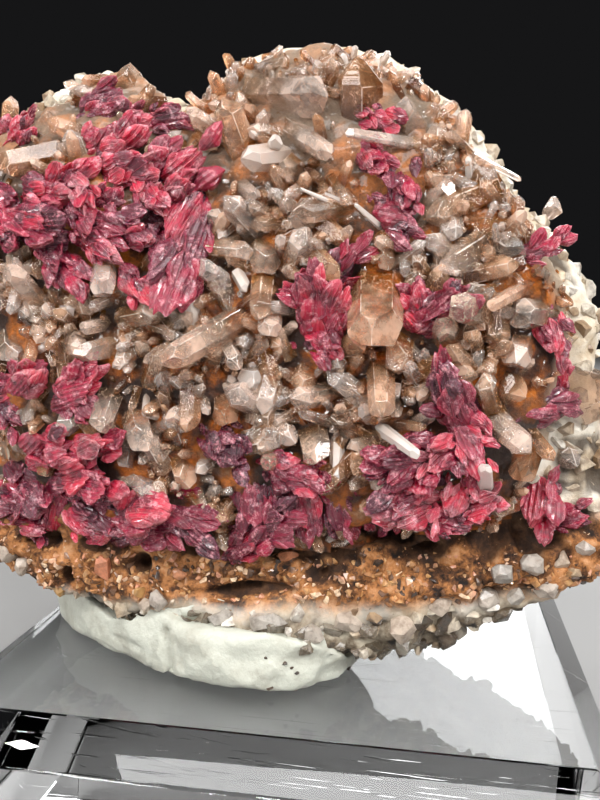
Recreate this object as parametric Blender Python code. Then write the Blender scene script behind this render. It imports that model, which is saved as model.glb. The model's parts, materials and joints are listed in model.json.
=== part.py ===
"""Rhodochrosite and quartz on matrix, held by putty on a bevelled acrylic block.

Metres, +Z up. The origin is the centre of the block's underside, and the crystals face -Y.
"""
import math
import random

import bmesh
import bpy
from mathutils import Matrix, Vector, noise
from mathutils.bvhtree import BVHTree

MM = 0.001
GAP = 0.3 * MM
SAME_POINT = 0.0012 * MM
NEARLY_FLAT = math.radians(4.0)

# Acrylic block
BLOCK_SIDE = 76.2 * MM
BLOCK_HEIGHT = 12.7 * MM
BLOCK_BEVEL = 4.0 * MM

# Host rock: its outline from the front, x and z in millimetres, anticlockwise from lower left
ROCK_CENTRE = (0.0, 52.0)
ROCK_OUTLINE = [
    (-36, 26), (-40, 33), (-41, 46), (-41, 58), (-40.5, 68), (-39, 75), (-36, 80), (-31, 82.5), (-26, 83.5),
    (-21, 86.5), (-18.5, 85), (-15.5, 82), (-12, 79), (-9.5, 80.5), (-7.5, 83.5), (-4, 86), (1, 87),
    (7, 87), (12, 85), (16, 82), (20, 78.5), (23.5, 74), (26, 70), (29, 66), (32, 62.5), (34.5, 60),
    (35.5, 55), (35.5, 50), (36, 43), (39, 38), (40, 32), (38, 27), (33, 23.5), (27, 21), (20, 17.5),
    (14, 15.6), (5, 15.4), (-5, 16), (-14, 16.8), (-22, 18.5), (-30, 21.5),
]
ROCK_MIDDLE_Y = (-19.0 * MM, -8.0 * MM)
ROCK_BACK_Y = (7.0 * MM, 2.0 * MM)
ROCK_FOOT_Z = 17.0 * MM
ROCK_TOP_Z = 87.0 * MM
ROCK_LUMP = 1.3 * MM
ROCK_LUMP_SIZE = 6.0 * MM
ROCK_DETAIL = 4
OUTLINE_ROUND = 0.45
SIDE_ROUND = 0.5

# Crystal crust: the outline of the part of the rock that it covers
CRUST_OUTLINE = [
    (-38, 31), (-40, 36), (-40, 60), (-39, 69), (-37, 75), (-31, 79), (-26, 81), (-21, 84), (-16, 81),
    (-12, 77), (-8, 80.5), (-4, 85), (1, 86.5), (7, 86), (12, 83.5), (16, 80), (20, 75.5), (23, 71),
    (26, 67), (29, 63), (32, 58), (34, 52), (35, 46), (37, 38), (36, 33), (30, 31.5), (15, 30.5),
    (0, 29.5), (-15, 29.5), (-30, 29.5),
]
CRUST_THICK = 3.6 * MM
CRUST_LUMP = 0.7 * MM
CRUST_LUMP_SIZE = 3.4 * MM
CRUST_EDGE = 4.5 * MM
CRUST_DETAIL = 3
CRUST_SUNK = 1.0 * MM

# The crystal face: how far forward it stands, and where it starts to round back to the top
FACE_Y = -25.0 * MM
FACE_BEND_Z = 60.0 * MM
FACE_TOP_BACK = 12.0 * MM
FACE_SIDE_BACK = 5.0 * MM
FACE_HALF_WIDTH = 41.0 * MM
FACE_HUMPS = [  # forward, centre x, centre z, reach (mm)
    (1.6, -19, 62, 10), (1.2, 10, 44, 14), (-2.2, -7, 72, 9),
]
FOOT_Z = 27.0 * MM
BAND_TOP_Z = 31.0 * MM
BAND_SET_BACK = 1.2 * MM

# Putty pad: its outline from above, x and y in millimetres
PUTTY_CENTRE = (-11.0, -9.0)
PUTTY_OUTLINE = [
    (-35, -7), (-30.5, -13), (-25.5, -17.6), (-19, -21.5), (-13.5, -24.3), (-8, -26.3), (-3, -27.5),
    (1, -27.2), (5, -26), (9.2, -23), (11, -18), (12, -13), (12, -6), (8, 2), (0, 7), (-12, 9), (-24, 7),
    (-32, 2),
]
PUTTY_TOP_Z = 23.0 * MM
PUTTY_LOW_Z = BLOCK_HEIGHT - 3.0 * MM
PUTTY_SIDE_ROUND = 0.35
PUTTY_TOP_ROUND = 0.8
PUTTY_FOLD = 0.012
PUTTY_FOLDS = 9
PUTTY_DETAIL = 3

# The viewpoint that places on the face are read from: where a thing shows, in pixels of a 600 by 800
# picture, gives the line of sight that it lies on
EYE = Vector((18.4, -102.8, 55.2)) * MM
EYE_YAW = math.radians(10.2)
EYE_PITCH = math.radians(7.0)
EYE_REACH_PX = 750.0
PICTURE_MIDDLE = (300.0, 400.0)
EDGE_Y = -12.0 * MM
FAR_APART = 14.0 * MM

# Quartz crystals: root across, root down, tip across, tip down, width (px), tip stands out (mm)
QUARTZ = [
    (62, 160, -14, 164, 38, 3.0), (126, 96, 131, 54, 32, 1.0), (48, 132, 50, 104, 38, 1.0),
    (246, 164, 220, 90, 32, 3.0), (262, 98, 332, 98, 42, 2.0), (285, 120, 330, 156, 28, 2.5),
    (440, 150, 341, 132, 20, 3.0), (388, 212, 300, 188, 10, 2.5), (392, 240, 350, 204, 11, 2.0),
    (357, 112, 357, 52, 46, 1.5), (410, 140, 410, 86, 42, 1.5), (436, 140, 524, 182, 13, 1.5),
    (430, 182, 428, 146, 12, 1.5), (450, 215, 444, 176, 22, 1.0), (500, 204, 502, 180, 11, 2.0),
    (556, 262, 463, 284, 26, 3.0), (536, 274, 488, 308, 20, 2.5), (498, 260, 495, 222, 11, 2.0),
    (420, 264, 460, 274, 11, 2.0), (545, 318, 510, 312, 34, 2.0), (446, 352, 444, 317, 28, 2.5),
    (520, 340, 514, 366, 32, 2.0), (378, 292, 376, 352, 62, 5.0), (256, 310, 154, 366, 36, 4.5),
    (266, 244, 262, 276, 36, 2.0), (272, 296, 270, 338, 30, 2.5), (330, 215, 284, 220, 30, 1.5),
    (244, 224, 204, 214, 22, 1.5), (118, 320, 77, 330, 18, 2.5), (128, 344, 68, 356, 26, 2.5),
    (106, 266, 104, 294, 30, 3.5), (192, 268, 216, 270, 26, 3.5), (12, 336, 14, 368, 28, 1.5),
    (116, 384, 97, 438, 30, 3.0), (136, 412, 146, 454, 34, 2.0), (76, 402, 62, 440, 22, 2.0),
    (204, 408, 162, 420, 22, 1.5), (124, 438, 128, 468, 30, 1.5), (120, 470, 160, 500, 24, 1.5),
    (380, 352, 382, 424, 34, 4.0), (376, 424, 418, 456, 20, 4.5), (312, 424, 322, 466, 36, 2.5),
    (338, 392, 290, 400, 28, 2.0), (226, 396, 226, 428, 32, 1.5), (240, 412, 262, 422, 18, 1.5),
    (270, 446, 268, 470, 22, 2.0), (356, 442, 358, 476, 18, 2.0), (510, 412, 556, 462, 18, 3.0),
    (532, 446, 514, 482, 30, 2.5), (486, 498, 486, 466, 20, 2.5), (548, 208, 566, 216, 24, 0.5),
    (510, 250, 530, 226, 24, 1.0), (40, 300, 12, 254, 12, 2.0), (310, 362, 300, 392, 26, 1.5),
    (478, 360, 470, 330, 18, 1.5), (176, 452, 190, 490, 30, 1.5), (30, 440, 6, 462, 26, 1.5),
    (556, 440, 580, 470, 30, 1.0),
]
RIGHT_CRYSTAL = {"root": (572, 400), "tip": (640, 372), "width": 7.5 * MM, "y": -17.0 * MM}
QUARTZ_ROOT = 2.4 * MM
SMALL_QUARTZ_SUNK = 1.2 * MM
QUARTZ_TIP_SHARE = 0.9
QUARTZ_TIP_MOST = 0.45
QUARTZ_TAPER = 0.9
SMALL_QUARTZ_TRIES = 90
SMALL_QUARTZ_APART = 4.8 * MM
SMALL_QUARTZ_WIDE = (3.0 * MM, 4.4 * MM)
SMALL_QUARTZ_LONG = (3.4 * MM, 5.2 * MM)
SMALL_QUARTZ_SPACE = ((8, 560), (90, 515))

# Rhodochrosite blades by cluster: end across, end down, other end across, down, width (px), out (mm)
CLUSTERS = {
    "left_tip": [(6, 143, 34, 116, 15, 1.0), (14, 146, 34, 128, 12, 1.0)],
    "left_lobe": [(82, 114, 122, 88, 15, 2.5), (92, 118, 126, 100, 13, 2.0)],
    "upper_left": [
        (98, 143, 150, 122, 18, 2.0), (146, 124, 194, 118, 18, 2.0), (102, 162, 150, 130, 15, 3.0),
        (96, 178, 132, 158, 34, 2.5), (54, 190, 94, 164, 16, 2.0), (116, 184, 158, 160, 20, 2.5),
        (156, 190, 208, 150, 36, 3.0), (140, 182, 158, 212, 17, 3.0), (98, 206, 124, 190, 18, 2.5),
    ],
    "left_rim": [
        (-4, 206, 56, 234, 18, 3.0), (24, 190, 64, 196, 24, 1.5), (72, 204, 86, 238, 15, 3.0),
        (40, 232, 58, 270, 18, 2.5), (58, 252, 86, 296, 20, 2.5),
    ],
    "left_fall": [
        (88, 216, 130, 232, 28, 2.0), (122, 236, 150, 240, 18, 2.5), (146, 224, 170, 260, 20, 2.5),
        (80, 232, 118, 260, 20, 2.0), (122, 262, 145, 304, 14, 2.5), (200, 202, 180, 300, 22, 3.0),
    ],
    "mid_left": [(2, 396, 40, 370, 18, 2.0), (4, 398, 22, 432, 16, 2.0)],
    "mid_left_wing": [(58, 394, 112, 366, 20, 2.5), (68, 392, 96, 418, 22, 2.0)],
    "left_above_foot": [
        (36, 452, 74, 442, 22, 2.0), (70, 452, 110, 440, 22, 2.5), (62, 478, 110, 480, 36, 3.0),
    ],
    "foot_left": [
        (-10, 500, 36, 522, 40, 3.0), (-6, 520, 30, 500, 30, 2.5), (20, 472, 44, 504, 20, 2.5),
        (30, 508, 38, 536, 16, 3.0), (60, 496, 54, 534, 22, 3.0), (70, 504, 92, 534, 26, 3.0),
        (84, 504, 112, 528, 28, 3.5),
    ],
    "foot_left_end": [
        (106, 528, 170, 508, 32, 3.5), (120, 512, 168, 530, 24, 2.5), (156, 504, 212, 538, 26, 3.0),
    ],
    "burgundy": [(208, 434, 240, 462, 30, 2.5), (220, 428, 232, 468, 28, 2.0)],
    "foot_middle": [
        (266, 466, 316, 474, 26, 2.5), (252, 480, 258, 530, 30, 3.0), (278, 482, 282, 534, 20, 2.5),
        (244, 530, 292, 524, 20, 3.5), (300, 488, 312, 536, 24, 3.0),
        (330, 492, 344, 536, 24, 2.5), (350, 504, 364, 528, 22, 2.5), (222, 562, 264, 532, 18, 3.0),
    ],
    "top_middle": [(366, 112, 392, 126, 18, 1.0), (362, 150, 386, 174, 22, 2.0)],
    "top_ovoid": [(403, 171, 405, 210, 25, 2.5)],
    "upper_middle": [(368, 206, 420, 228, 24, 1.5)],
    "dark_blade": [(332, 282, 362, 240, 16, 1.5)],
    "centre_fan": [
        (316, 334, 300, 280, 22, 3.0), (318, 336, 322, 276, 22, 3.5), (322, 338, 338, 280, 18, 3.0),
        (312, 304, 280, 288, 10, 2.5), (304, 330, 336, 352, 22, 2.0),
    ],
    "centre_wings": [(422, 324, 412, 282, 20, 2.0), (418, 322, 464, 284, 22, 2.5)],
    "right_purple": [(520, 258, 562, 240, 16, 1.0)],
    "right_edge": [(546, 314, 556, 358, 24, 1.5)],
    "right_wing": [(556, 394, 564, 366, 15, 2.0), (524, 416, 574, 404, 22, 2.5)],
    "right_blade": [
        (474, 428, 432, 366, 28, 3.5), (458, 414, 482, 466, 28, 3.0), (446, 420, 486, 440, 20, 2.0),
    ],
    "right_mass": [
        (456, 440, 422, 470, 28, 3.0), (430, 448, 376, 462, 26, 3.5), (420, 452, 378, 496, 34, 3.5),
        (430, 464, 412, 500, 34, 3.0),
    ],
    "foot_right": [
        (440, 500, 374, 520, 26, 3.5), (430, 512, 462, 526, 26, 3.5), (462, 480, 446, 520, 30, 2.5),
        (466, 484, 478, 524, 26, 3.0), (462, 512, 500, 504, 24, 3.0),
    ],
    "right_ovoid": [(540, 474, 532, 526, 32, 2.5)],
    "foot_far_right": [(552, 522, 590, 516, 16, 1.5)],
}
BLADE_SIDES = 6
BLADE_THICK_SHARE = 0.42
BLADE_THICK_LEAST = 1.1 * MM
BLADE_ROOT = 1.5 * MM
BLADE_SUNK = 1.0 * MM
BLADE_GROWTH = 1.7
BLADE_TURN = math.radians(24)

COLOURS = {
    "acrylic": ((0.85, 0.92, 0.95, 1.0), 0.05),
    "putty": ((0.82, 0.81, 0.74, 1.0), 0.55),
    "rock": ((0.55, 0.38, 0.22, 1.0), 0.85),
    "quartz": ((0.60, 0.47, 0.38, 1.0), 0.12),
    "rhodochrosite": ((0.55, 0.05, 0.12, 1.0), 0.25),
}


def clear_scene():
    for old in list(bpy.data.objects):
        bpy.data.objects.remove(old, do_unlink=True)


def material(name):
    """A Principled material for one of the object's substances."""
    made = bpy.data.materials.get(name)
    if made:
        return made
    colour, rough = COLOURS[name]
    made = bpy.data.materials.new(name)
    made.use_nodes = True
    shader = made.node_tree.nodes["Principled BSDF"]
    shader.inputs["Base Color"].default_value = colour
    shader.inputs["Roughness"].default_value = rough
    shader.inputs["Metallic"].default_value = 0.0
    return made


def new_object(name, bm, collection, substance):
    mesh = bpy.data.meshes.new(name)
    bm.to_mesh(mesh)
    bm.free()
    mesh.materials.append(material(substance))
    made = bpy.data.objects.new(name, mesh)
    collection.objects.link(made)
    return made


def eased(value):
    """0 to 1, slow at both ends."""
    value = min(max(value, 0.0), 1.0)
    return value * value * (3.0 - 2.0 * value)


def hump(x, z, at_x, at_z, reach):
    """A rounded rise of height 1 at one place of the face, all in metres but the result."""
    return math.exp(-((x - at_x) ** 2 + (z - at_z) ** 2) / (reach * reach))


def face_y(x, z):
    """How far forward the crystal crust stands at x, z."""
    top = max(z - FACE_BEND_Z, 0.0) / (ROCK_TOP_Z - FACE_BEND_Z)
    side = abs(x) / FACE_HALF_WIDTH
    y = FACE_Y + FACE_TOP_BACK * top * top + FACE_SIDE_BACK * side ** 4
    for forward, at_x, at_z, reach in FACE_HUMPS:
        y -= forward * MM * hump(x, z, at_x * MM, at_z * MM, reach * MM)
    return y


def rock_front_y(x, z):
    """The front of the host rock, behind the crust, and set less far back along its bare foot."""
    under = eased((z - FOOT_Z) / (BAND_TOP_Z - FOOT_Z))
    return face_y(x, z) + BAND_SET_BACK + (CRUST_THICK - BAND_SET_BACK) * under


def rock_back_y(x, z):
    rise = eased((z - ROCK_FOOT_Z) / (ROCK_TOP_Z - ROCK_FOOT_Z))
    return ROCK_BACK_Y[0] + (ROCK_BACK_Y[1] - ROCK_BACK_Y[0]) * rise


def rock_middle_y(z):
    rise = eased((z - ROCK_FOOT_Z) / (ROCK_TOP_Z - ROCK_FOOT_Z))
    return ROCK_MIDDLE_Y[0] + (ROCK_MIDDLE_Y[1] - ROCK_MIDDLE_Y[0]) * rise


def outline_radius(outline, centre):
    """A function that gives the distance from the centre to the outline in any direction."""
    polar = sorted((math.atan2(b - centre[1], a - centre[0]), math.hypot(a - centre[0], b - centre[1]))
                   for a, b in outline)
    first, last = polar[0], polar[-1]
    polar = [(last[0] - 2 * math.pi, last[1])] + polar + [(first[0] + 2 * math.pi, first[1])]

    def radius(angle):
        for (a0, r0), (a1, r1) in zip(polar, polar[1:]):
            if a0 <= angle <= a1:
                return (r0 + (r1 - r0) * (angle - a0) / max(a1 - a0, 1e-9)) * MM
        return polar[-1][1] * MM
    return radius


def ball(detail):
    bm = bmesh.new()
    bmesh.ops.create_icosphere(bm, subdivisions=detail, radius=1.0)
    return bm


def lumps(point, size, seed):
    """Broken-stone relief, about -1 to 1: rounded grains with creases between them."""
    at = Vector(point) / size + Vector((seed, 2.7 * seed, -seed))
    grains = 0.9 - 2.0 * noise.voronoi(at)[0][0]
    return 0.6 * grains + 0.7 * noise.noise(at * 0.6)


def rock_shape(grow=None, detail=ROCK_DETAIL):
    """The host rock: a ball pressed to its outline seen from the front, with a front and a back.

    grow says how much further out each point of the surface goes.
    """
    radius = outline_radius(ROCK_OUTLINE, ROCK_CENTRE)
    bm = ball(detail)
    for vert in bm.verts:
        dx, dy, dz = vert.co
        flat = max(math.hypot(dx, dz), 1e-6)
        reach = radius(math.atan2(dz, dx)) * flat ** OUTLINE_ROUND
        x = ROCK_CENTRE[0] * MM + reach * dx / flat
        z = ROCK_CENTRE[1] * MM + reach * dz / flat
        middle = rock_middle_y(z)
        end = rock_front_y(x, z) if dy < 0 else rock_back_y(x, z)
        vert.co = (x, middle + (end - middle) * abs(dy) ** SIDE_ROUND, z)
    bm.normal_update()
    moves = []
    for vert in bm.verts:
        out = ROCK_LUMP * lumps(vert.co, ROCK_LUMP_SIZE, seed=3.1)
        if grow:
            out += grow(vert)
        moves.append(vert.normal * out)
    for vert, move in zip(bm.verts, moves):
        vert.co += move
    return bm


def crust_cover():
    """A function that says how thick the crystal crust lies over a point of the rock."""
    radius = outline_radius(CRUST_OUTLINE, ROCK_CENTRE)

    def thickness(vert):
        x, z = vert.co.x - ROCK_CENTRE[0] * MM, vert.co.z - ROCK_CENTRE[1] * MM
        inside = eased((radius(math.atan2(z, x)) - math.hypot(x, z)) / CRUST_EDGE)
        ahead = eased((rock_middle_y(vert.co.z) - vert.co.y) / CRUST_EDGE)
        cover = inside * ahead
        grainy = CRUST_LUMP * lumps(vert.co, CRUST_LUMP_SIZE, seed=8.4)
        return cover * (CRUST_THICK + CRUST_SUNK + grainy) - CRUST_SUNK
    return thickness


def putty_shape():
    """A blob pressed flat, lower and wider than a ball, with soft folds round its side."""
    radius = outline_radius(PUTTY_OUTLINE, PUTTY_CENTRE)
    bm = ball(PUTTY_DETAIL)
    half = (PUTTY_TOP_Z - PUTTY_LOW_Z) / 2
    for vert in bm.verts:
        dx, dy, dz = vert.co
        flat = max(math.hypot(dx, dy), 1e-6)
        angle = math.atan2(dy, dx)
        reach = radius(angle) * flat ** PUTTY_SIDE_ROUND
        reach *= 1.0 + PUTTY_FOLD * math.sin(PUTTY_FOLDS * angle + 7 * dz)
        vert.co = (PUTTY_CENTRE[0] * MM + reach * dx / flat, PUTTY_CENTRE[1] * MM + reach * dy / flat,
                   PUTTY_LOW_Z + half * (1.0 + math.copysign(abs(dz) ** PUTTY_TOP_ROUND, dz)))
    return bm


def sight(across, down):
    """The direction of the line of sight through a place in the picture."""
    ahead = Vector((-math.sin(EYE_YAW) * math.cos(EYE_PITCH), math.cos(EYE_YAW) * math.cos(EYE_PITCH),
                    -math.sin(EYE_PITCH)))
    right = Vector((math.cos(EYE_YAW), math.sin(EYE_YAW), 0.0))
    up = right.cross(ahead)
    turn_x = (across - PICTURE_MIDDLE[0]) / EYE_REACH_PX
    turn_z = (PICTURE_MIDDLE[1] - down) / EYE_REACH_PX
    return ahead + right * turn_x + up * turn_z


def seen_at(across, down, y):
    """The point of that line of sight at depth y."""
    way = sight(across, down)
    return EYE + way * ((y - EYE.y) / way.y)


class Face:
    """The surface that the crystals grow on, met along a line of sight."""

    def __init__(self, core):
        self.tree = BVHTree.FromBMesh(core)

    def at(self, across, down, out, beside=None):
        """The point seen there, moved out from the surface towards the eye; beside gives the depth
        where the line of sight passes the rock."""
        way = sight(across, down).normalized()
        hit = self.tree.ray_cast(EYE, way)[0]
        if hit is None or (beside and (hit - beside).length > FAR_APART):
            hit = seen_at(across, down, beside.y if beside else EDGE_Y)
        return hit - way * out


def pixel_size(point):
    """What one pixel measures at that point."""
    return (point - EYE).length / EYE_REACH_PX


def frame_along(start, end, turn):
    """Axes with z from start to end, y roughly towards the eye, turned about z."""
    z_axis = (end - start).normalized()
    to_eye = (EYE - start).normalized()
    x_axis = to_eye.cross(z_axis).normalized()
    y_axis = z_axis.cross(x_axis)
    axes = Matrix((x_axis, y_axis, z_axis)).transposed().to_4x4()
    return Matrix.Translation(start) @ axes @ Matrix.Rotation(turn, 4, "Z")


def add_prism(bm, start, end, width, turn):
    """A six-sided quartz crystal: a prism that tapers a little, and a point at its free end."""
    length = (end - start).length
    point = min(QUARTZ_TIP_SHARE * width * 0.5, QUARTZ_TIP_MOST * length)
    made = bmesh.ops.create_cone(bm, cap_ends=True, segments=6, radius1=width / 2,
                                 radius2=width / 2 * QUARTZ_TAPER, depth=length - point)
    verts = made["verts"]
    top_z = max(vert.co.z for vert in verts)
    top = [face for face in {f for v in verts for f in v.link_faces}
           if all(abs(vert.co.z - top_z) < 1e-7 for vert in face.verts)]
    poked = bmesh.ops.poke(bm, faces=top, offset=point)
    verts = list(verts) + list(poked["verts"])
    bmesh.ops.translate(bm, verts=verts, vec=(0, 0, (length - point) / 2))
    bmesh.ops.transform(bm, verts=verts, matrix=frame_along(start, end, turn))


def add_blade(bm, start, end, width, thick, turn):
    """A lens-shaped rhodochrosite blade: a sharp rim, and two faces that rise to a low point."""
    half = (end - start).length / 2
    axes = frame_along(start, end, turn)
    rim = []
    for step in range(BLADE_SIDES):
        angle = 2 * math.pi * step / BLADE_SIDES
        place = Vector((width / 2 * math.sin(angle), 0, half - half * math.cos(angle)))
        rim.append(bm.verts.new(axes @ place))
    for side in (-1, 1):
        top = bm.verts.new(axes @ Vector((0, side * thick / 2, half)))
        for a, b in zip(rim, rim[1:] + rim[:1]):
            bm.faces.new((a, b, top) if side < 0 else (b, a, top))


def quartz_crystals(face):
    """The crystals named in the list, then smaller ones scattered between them."""
    bm = bmesh.new()
    dice = random.Random(11)
    for root_x, root_y, tip_x, tip_y, width, out in QUARTZ:
        root = face.at(root_x, root_y, -QUARTZ_ROOT)
        tip = face.at(tip_x, tip_y, out * MM, beside=root)
        add_prism(bm, root, tip, width * pixel_size(tip), dice.uniform(0.0, 1.0))
    right = RIGHT_CRYSTAL
    add_prism(bm, seen_at(*right["root"], right["y"]), seen_at(*right["tip"], right["y"]),
              right["width"], 0.3)
    taken = [face.at((a + c) / 2, (b + d) / 2, 0.0) for a, b, c, d, _, _ in QUARTZ]
    taken += [face.at((a + c) / 2, (b + d) / 2, 0.0)
              for blades in CLUSTERS.values() for a, b, c, d, _, _ in blades]
    across, down = SMALL_QUARTZ_SPACE
    for _ in range(SMALL_QUARTZ_TRIES):
        root = face.at(dice.uniform(*across), dice.uniform(*down), -SMALL_QUARTZ_SUNK)
        lean = Vector((dice.uniform(-0.7, 0.7), -1.0, dice.uniform(-0.9, 0.3))).normalized()
        tip = root + lean * dice.uniform(*SMALL_QUARTZ_LONG)
        wide, turn = dice.uniform(*SMALL_QUARTZ_WIDE), dice.uniform(0.0, 1.0)
        free = all((root - other).length > SMALL_QUARTZ_APART for other in taken)
        if free and inside_crust(root):
            add_prism(bm, root, tip, wide, turn)
            taken.append(root)
    return bm


def inside_crust(point):
    x, z = point.x - ROCK_CENTRE[0] * MM, point.z - ROCK_CENTRE[1] * MM
    return math.hypot(x, z) < outline_radius(CRUST_OUTLINE, ROCK_CENTRE)(math.atan2(z, x)) - CRUST_EDGE


def cluster_blades(face, blades, seed, grow=0.0):
    """The blades of one cluster; for a cutter they are grown on all sides."""
    bm = bmesh.new()
    dice = random.Random(seed)
    wider = BLADE_GROWTH * grow
    for end_x, end_y, far_x, far_y, width, out in blades:
        near = face.at(end_x, end_y, 0.0)
        far = face.at(far_x, far_y, out * MM, beside=near)
        wide = width * pixel_size(far)
        thick = max(BLADE_THICK_SHARE * wide, BLADE_THICK_LEAST)
        turn = dice.uniform(-BLADE_TURN, BLADE_TURN)
        along = (far - near).normalized() * wider
        add_blade(bm, near - along, far + along, wide + 2 * wider, thick + 2 * wider, turn)
    bmesh.ops.recalc_face_normals(bm, faces=bm.faces)
    return bm


def cluster_root(face, blades, grow=0.0):
    """The grown-together mass behind the blades, from which they fan out."""
    bm = bmesh.new()
    reach = BLADE_ROOT + BLADE_GROWTH * grow
    for end_x, end_y, far_x, far_y, width, out in blades:
        for share in (0.0, 0.5):
            across, down = end_x + share * (far_x - end_x), end_y + share * (far_y - end_y)
            middle = face.at(across, down, -BLADE_SUNK)
            for axis in ((1, 0, 0), (0, 1, 0), (0, 0, 1)):
                for side in (-reach, reach):
                    bmesh.ops.create_vert(bm, co=middle + Vector(axis) * side)
    bmesh.ops.convex_hull(bm, input=bm.verts)
    inner = [vert for vert in bm.verts if not vert.link_faces]
    bmesh.ops.delete(bm, geom=inner, context="VERTS")
    bmesh.ops.recalc_face_normals(bm, faces=bm.faces)
    return bm


def boolean(target, cutter, operation):
    step = target.modifiers.new(operation.title(), "BOOLEAN")
    step.object = cutter
    step.operation = operation
    step.solver = "EXACT"
    step.use_self = operation == "UNION"
    depsgraph = bpy.context.evaluated_depsgraph_get()
    mesh = bpy.data.meshes.new_from_object(target.evaluated_get(depsgraph))
    target.modifiers.clear()
    old = target.data
    target.data = mesh
    bpy.data.meshes.remove(old)


def keep_largest(target):
    """Drops the crumbs that a cut leaves loose, and merges points that lie on each other."""
    bm = bmesh.new()
    bm.from_mesh(target.data)
    bmesh.ops.remove_doubles(bm, verts=bm.verts, dist=SAME_POINT)
    bmesh.ops.dissolve_limit(bm, angle_limit=NEARLY_FLAT, verts=bm.verts, edges=bm.edges)
    bmesh.ops.triangulate(bm, faces=bm.faces)
    left = set(bm.verts)
    groups = []
    while left:
        stack = [left.pop()]
        group = set(stack)
        while stack:
            for edge in stack.pop().link_edges:
                for vert in edge.verts:
                    if vert in left:
                        left.remove(vert)
                        group.add(vert)
                        stack.append(vert)
        groups.append(group)
    groups.sort(key=len, reverse=True)
    loose = [vert for group in groups[1:] for vert in group]
    bmesh.ops.delete(bm, geom=loose, context="VERTS")
    bm.to_mesh(target.data)
    bm.free()


def acrylic_base(parts):
    """A cast block, its four top edges planed at 45 degrees."""
    bm = bmesh.new()
    bmesh.ops.create_cube(bm, size=1.0)
    bmesh.ops.scale(bm, vec=(BLOCK_SIDE, BLOCK_SIDE, BLOCK_HEIGHT), verts=bm.verts)
    bmesh.ops.translate(bm, vec=(0, 0, BLOCK_HEIGHT / 2), verts=bm.verts)
    top = [edge for edge in bm.edges if all(vert.co.z > BLOCK_HEIGHT * 0.9 for vert in edge.verts)]
    bmesh.ops.bevel(bm, geom=top, offset=BLOCK_BEVEL, segments=1, affect="EDGES")
    return new_object("acrylic_base", bm, parts, "acrylic")


def build():
    clear_scene()
    parts = bpy.data.collections.new("rhodochrosite_specimen")
    cutters = bpy.data.collections.new("cutters")
    for made in (parts, cutters):
        bpy.context.scene.collection.children.link(made)
    acrylic_base(parts)

    new_object("matrix_rock", rock_shape(), parts, "rock")
    rock_cutter = new_object("rock_cutter", rock_shape(lambda vert: GAP), cutters, "rock")

    putty = new_object("mounting_putty", putty_shape(), parts, "putty")
    floor = bmesh.new()
    bmesh.ops.create_cube(floor, size=1.0)
    bmesh.ops.scale(floor, vec=(1.5 * BLOCK_SIDE, 1.5 * BLOCK_SIDE, BLOCK_HEIGHT), verts=floor.verts)
    bmesh.ops.translate(floor, vec=(0, 0, BLOCK_HEIGHT / 2 + GAP), verts=floor.verts)
    floor_cutter = new_object("floor_cutter", floor, cutters, "acrylic")
    boolean(putty, floor_cutter, "DIFFERENCE")
    boolean(putty, rock_cutter, "DIFFERENCE")
    keep_largest(putty)

    core = rock_shape(crust_cover(), CRUST_DETAIL)
    face = Face(core)
    crust = new_object("quartz_crust", core, parts, "quartz")
    crystals = new_object("crystals", quartz_crystals(face), cutters, "quartz")
    boolean(crust, crystals, "UNION")
    boolean(crust, rock_cutter, "DIFFERENCE")

    before = []
    for seed, (name, blades) in enumerate(CLUSTERS.items()):
        cluster = new_object("rhodochrosite_" + name, cluster_root(face, blades), parts, "rhodochrosite")
        sheaf = new_object(name + "_sheaf", cluster_blades(face, blades, seed), cutters, "rhodochrosite")
        pocket = new_object(name + "_pocket", cluster_root(face, blades, GAP), cutters, "rhodochrosite")
        wide_sheaf = new_object(name + "_wide_sheaf", cluster_blades(face, blades, seed, GAP), cutters,
                                "rhodochrosite")
        boolean(cluster, sheaf, "UNION")
        boolean(pocket, wide_sheaf, "UNION")
        boolean(cluster, rock_cutter, "DIFFERENCE")
        for other in before:
            boolean(cluster, other, "DIFFERENCE")
        keep_largest(cluster)
        boolean(crust, pocket, "DIFFERENCE")
        before.append(pocket)
    keep_largest(crust)

    for cutter in cutters.objects:
        cutter.hide_render = True
        cutter.display_type = "WIRE"


build()
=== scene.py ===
"""Rhodochrosite and quartz on host rock, held by putty on a bevelled acrylic block: its looks."""
import json
import math
import random

import bmesh
import bpy
import numpy as np
from mathutils import Matrix, Vector, noise
from mathutils.bvhtree import BVHTree

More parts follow.
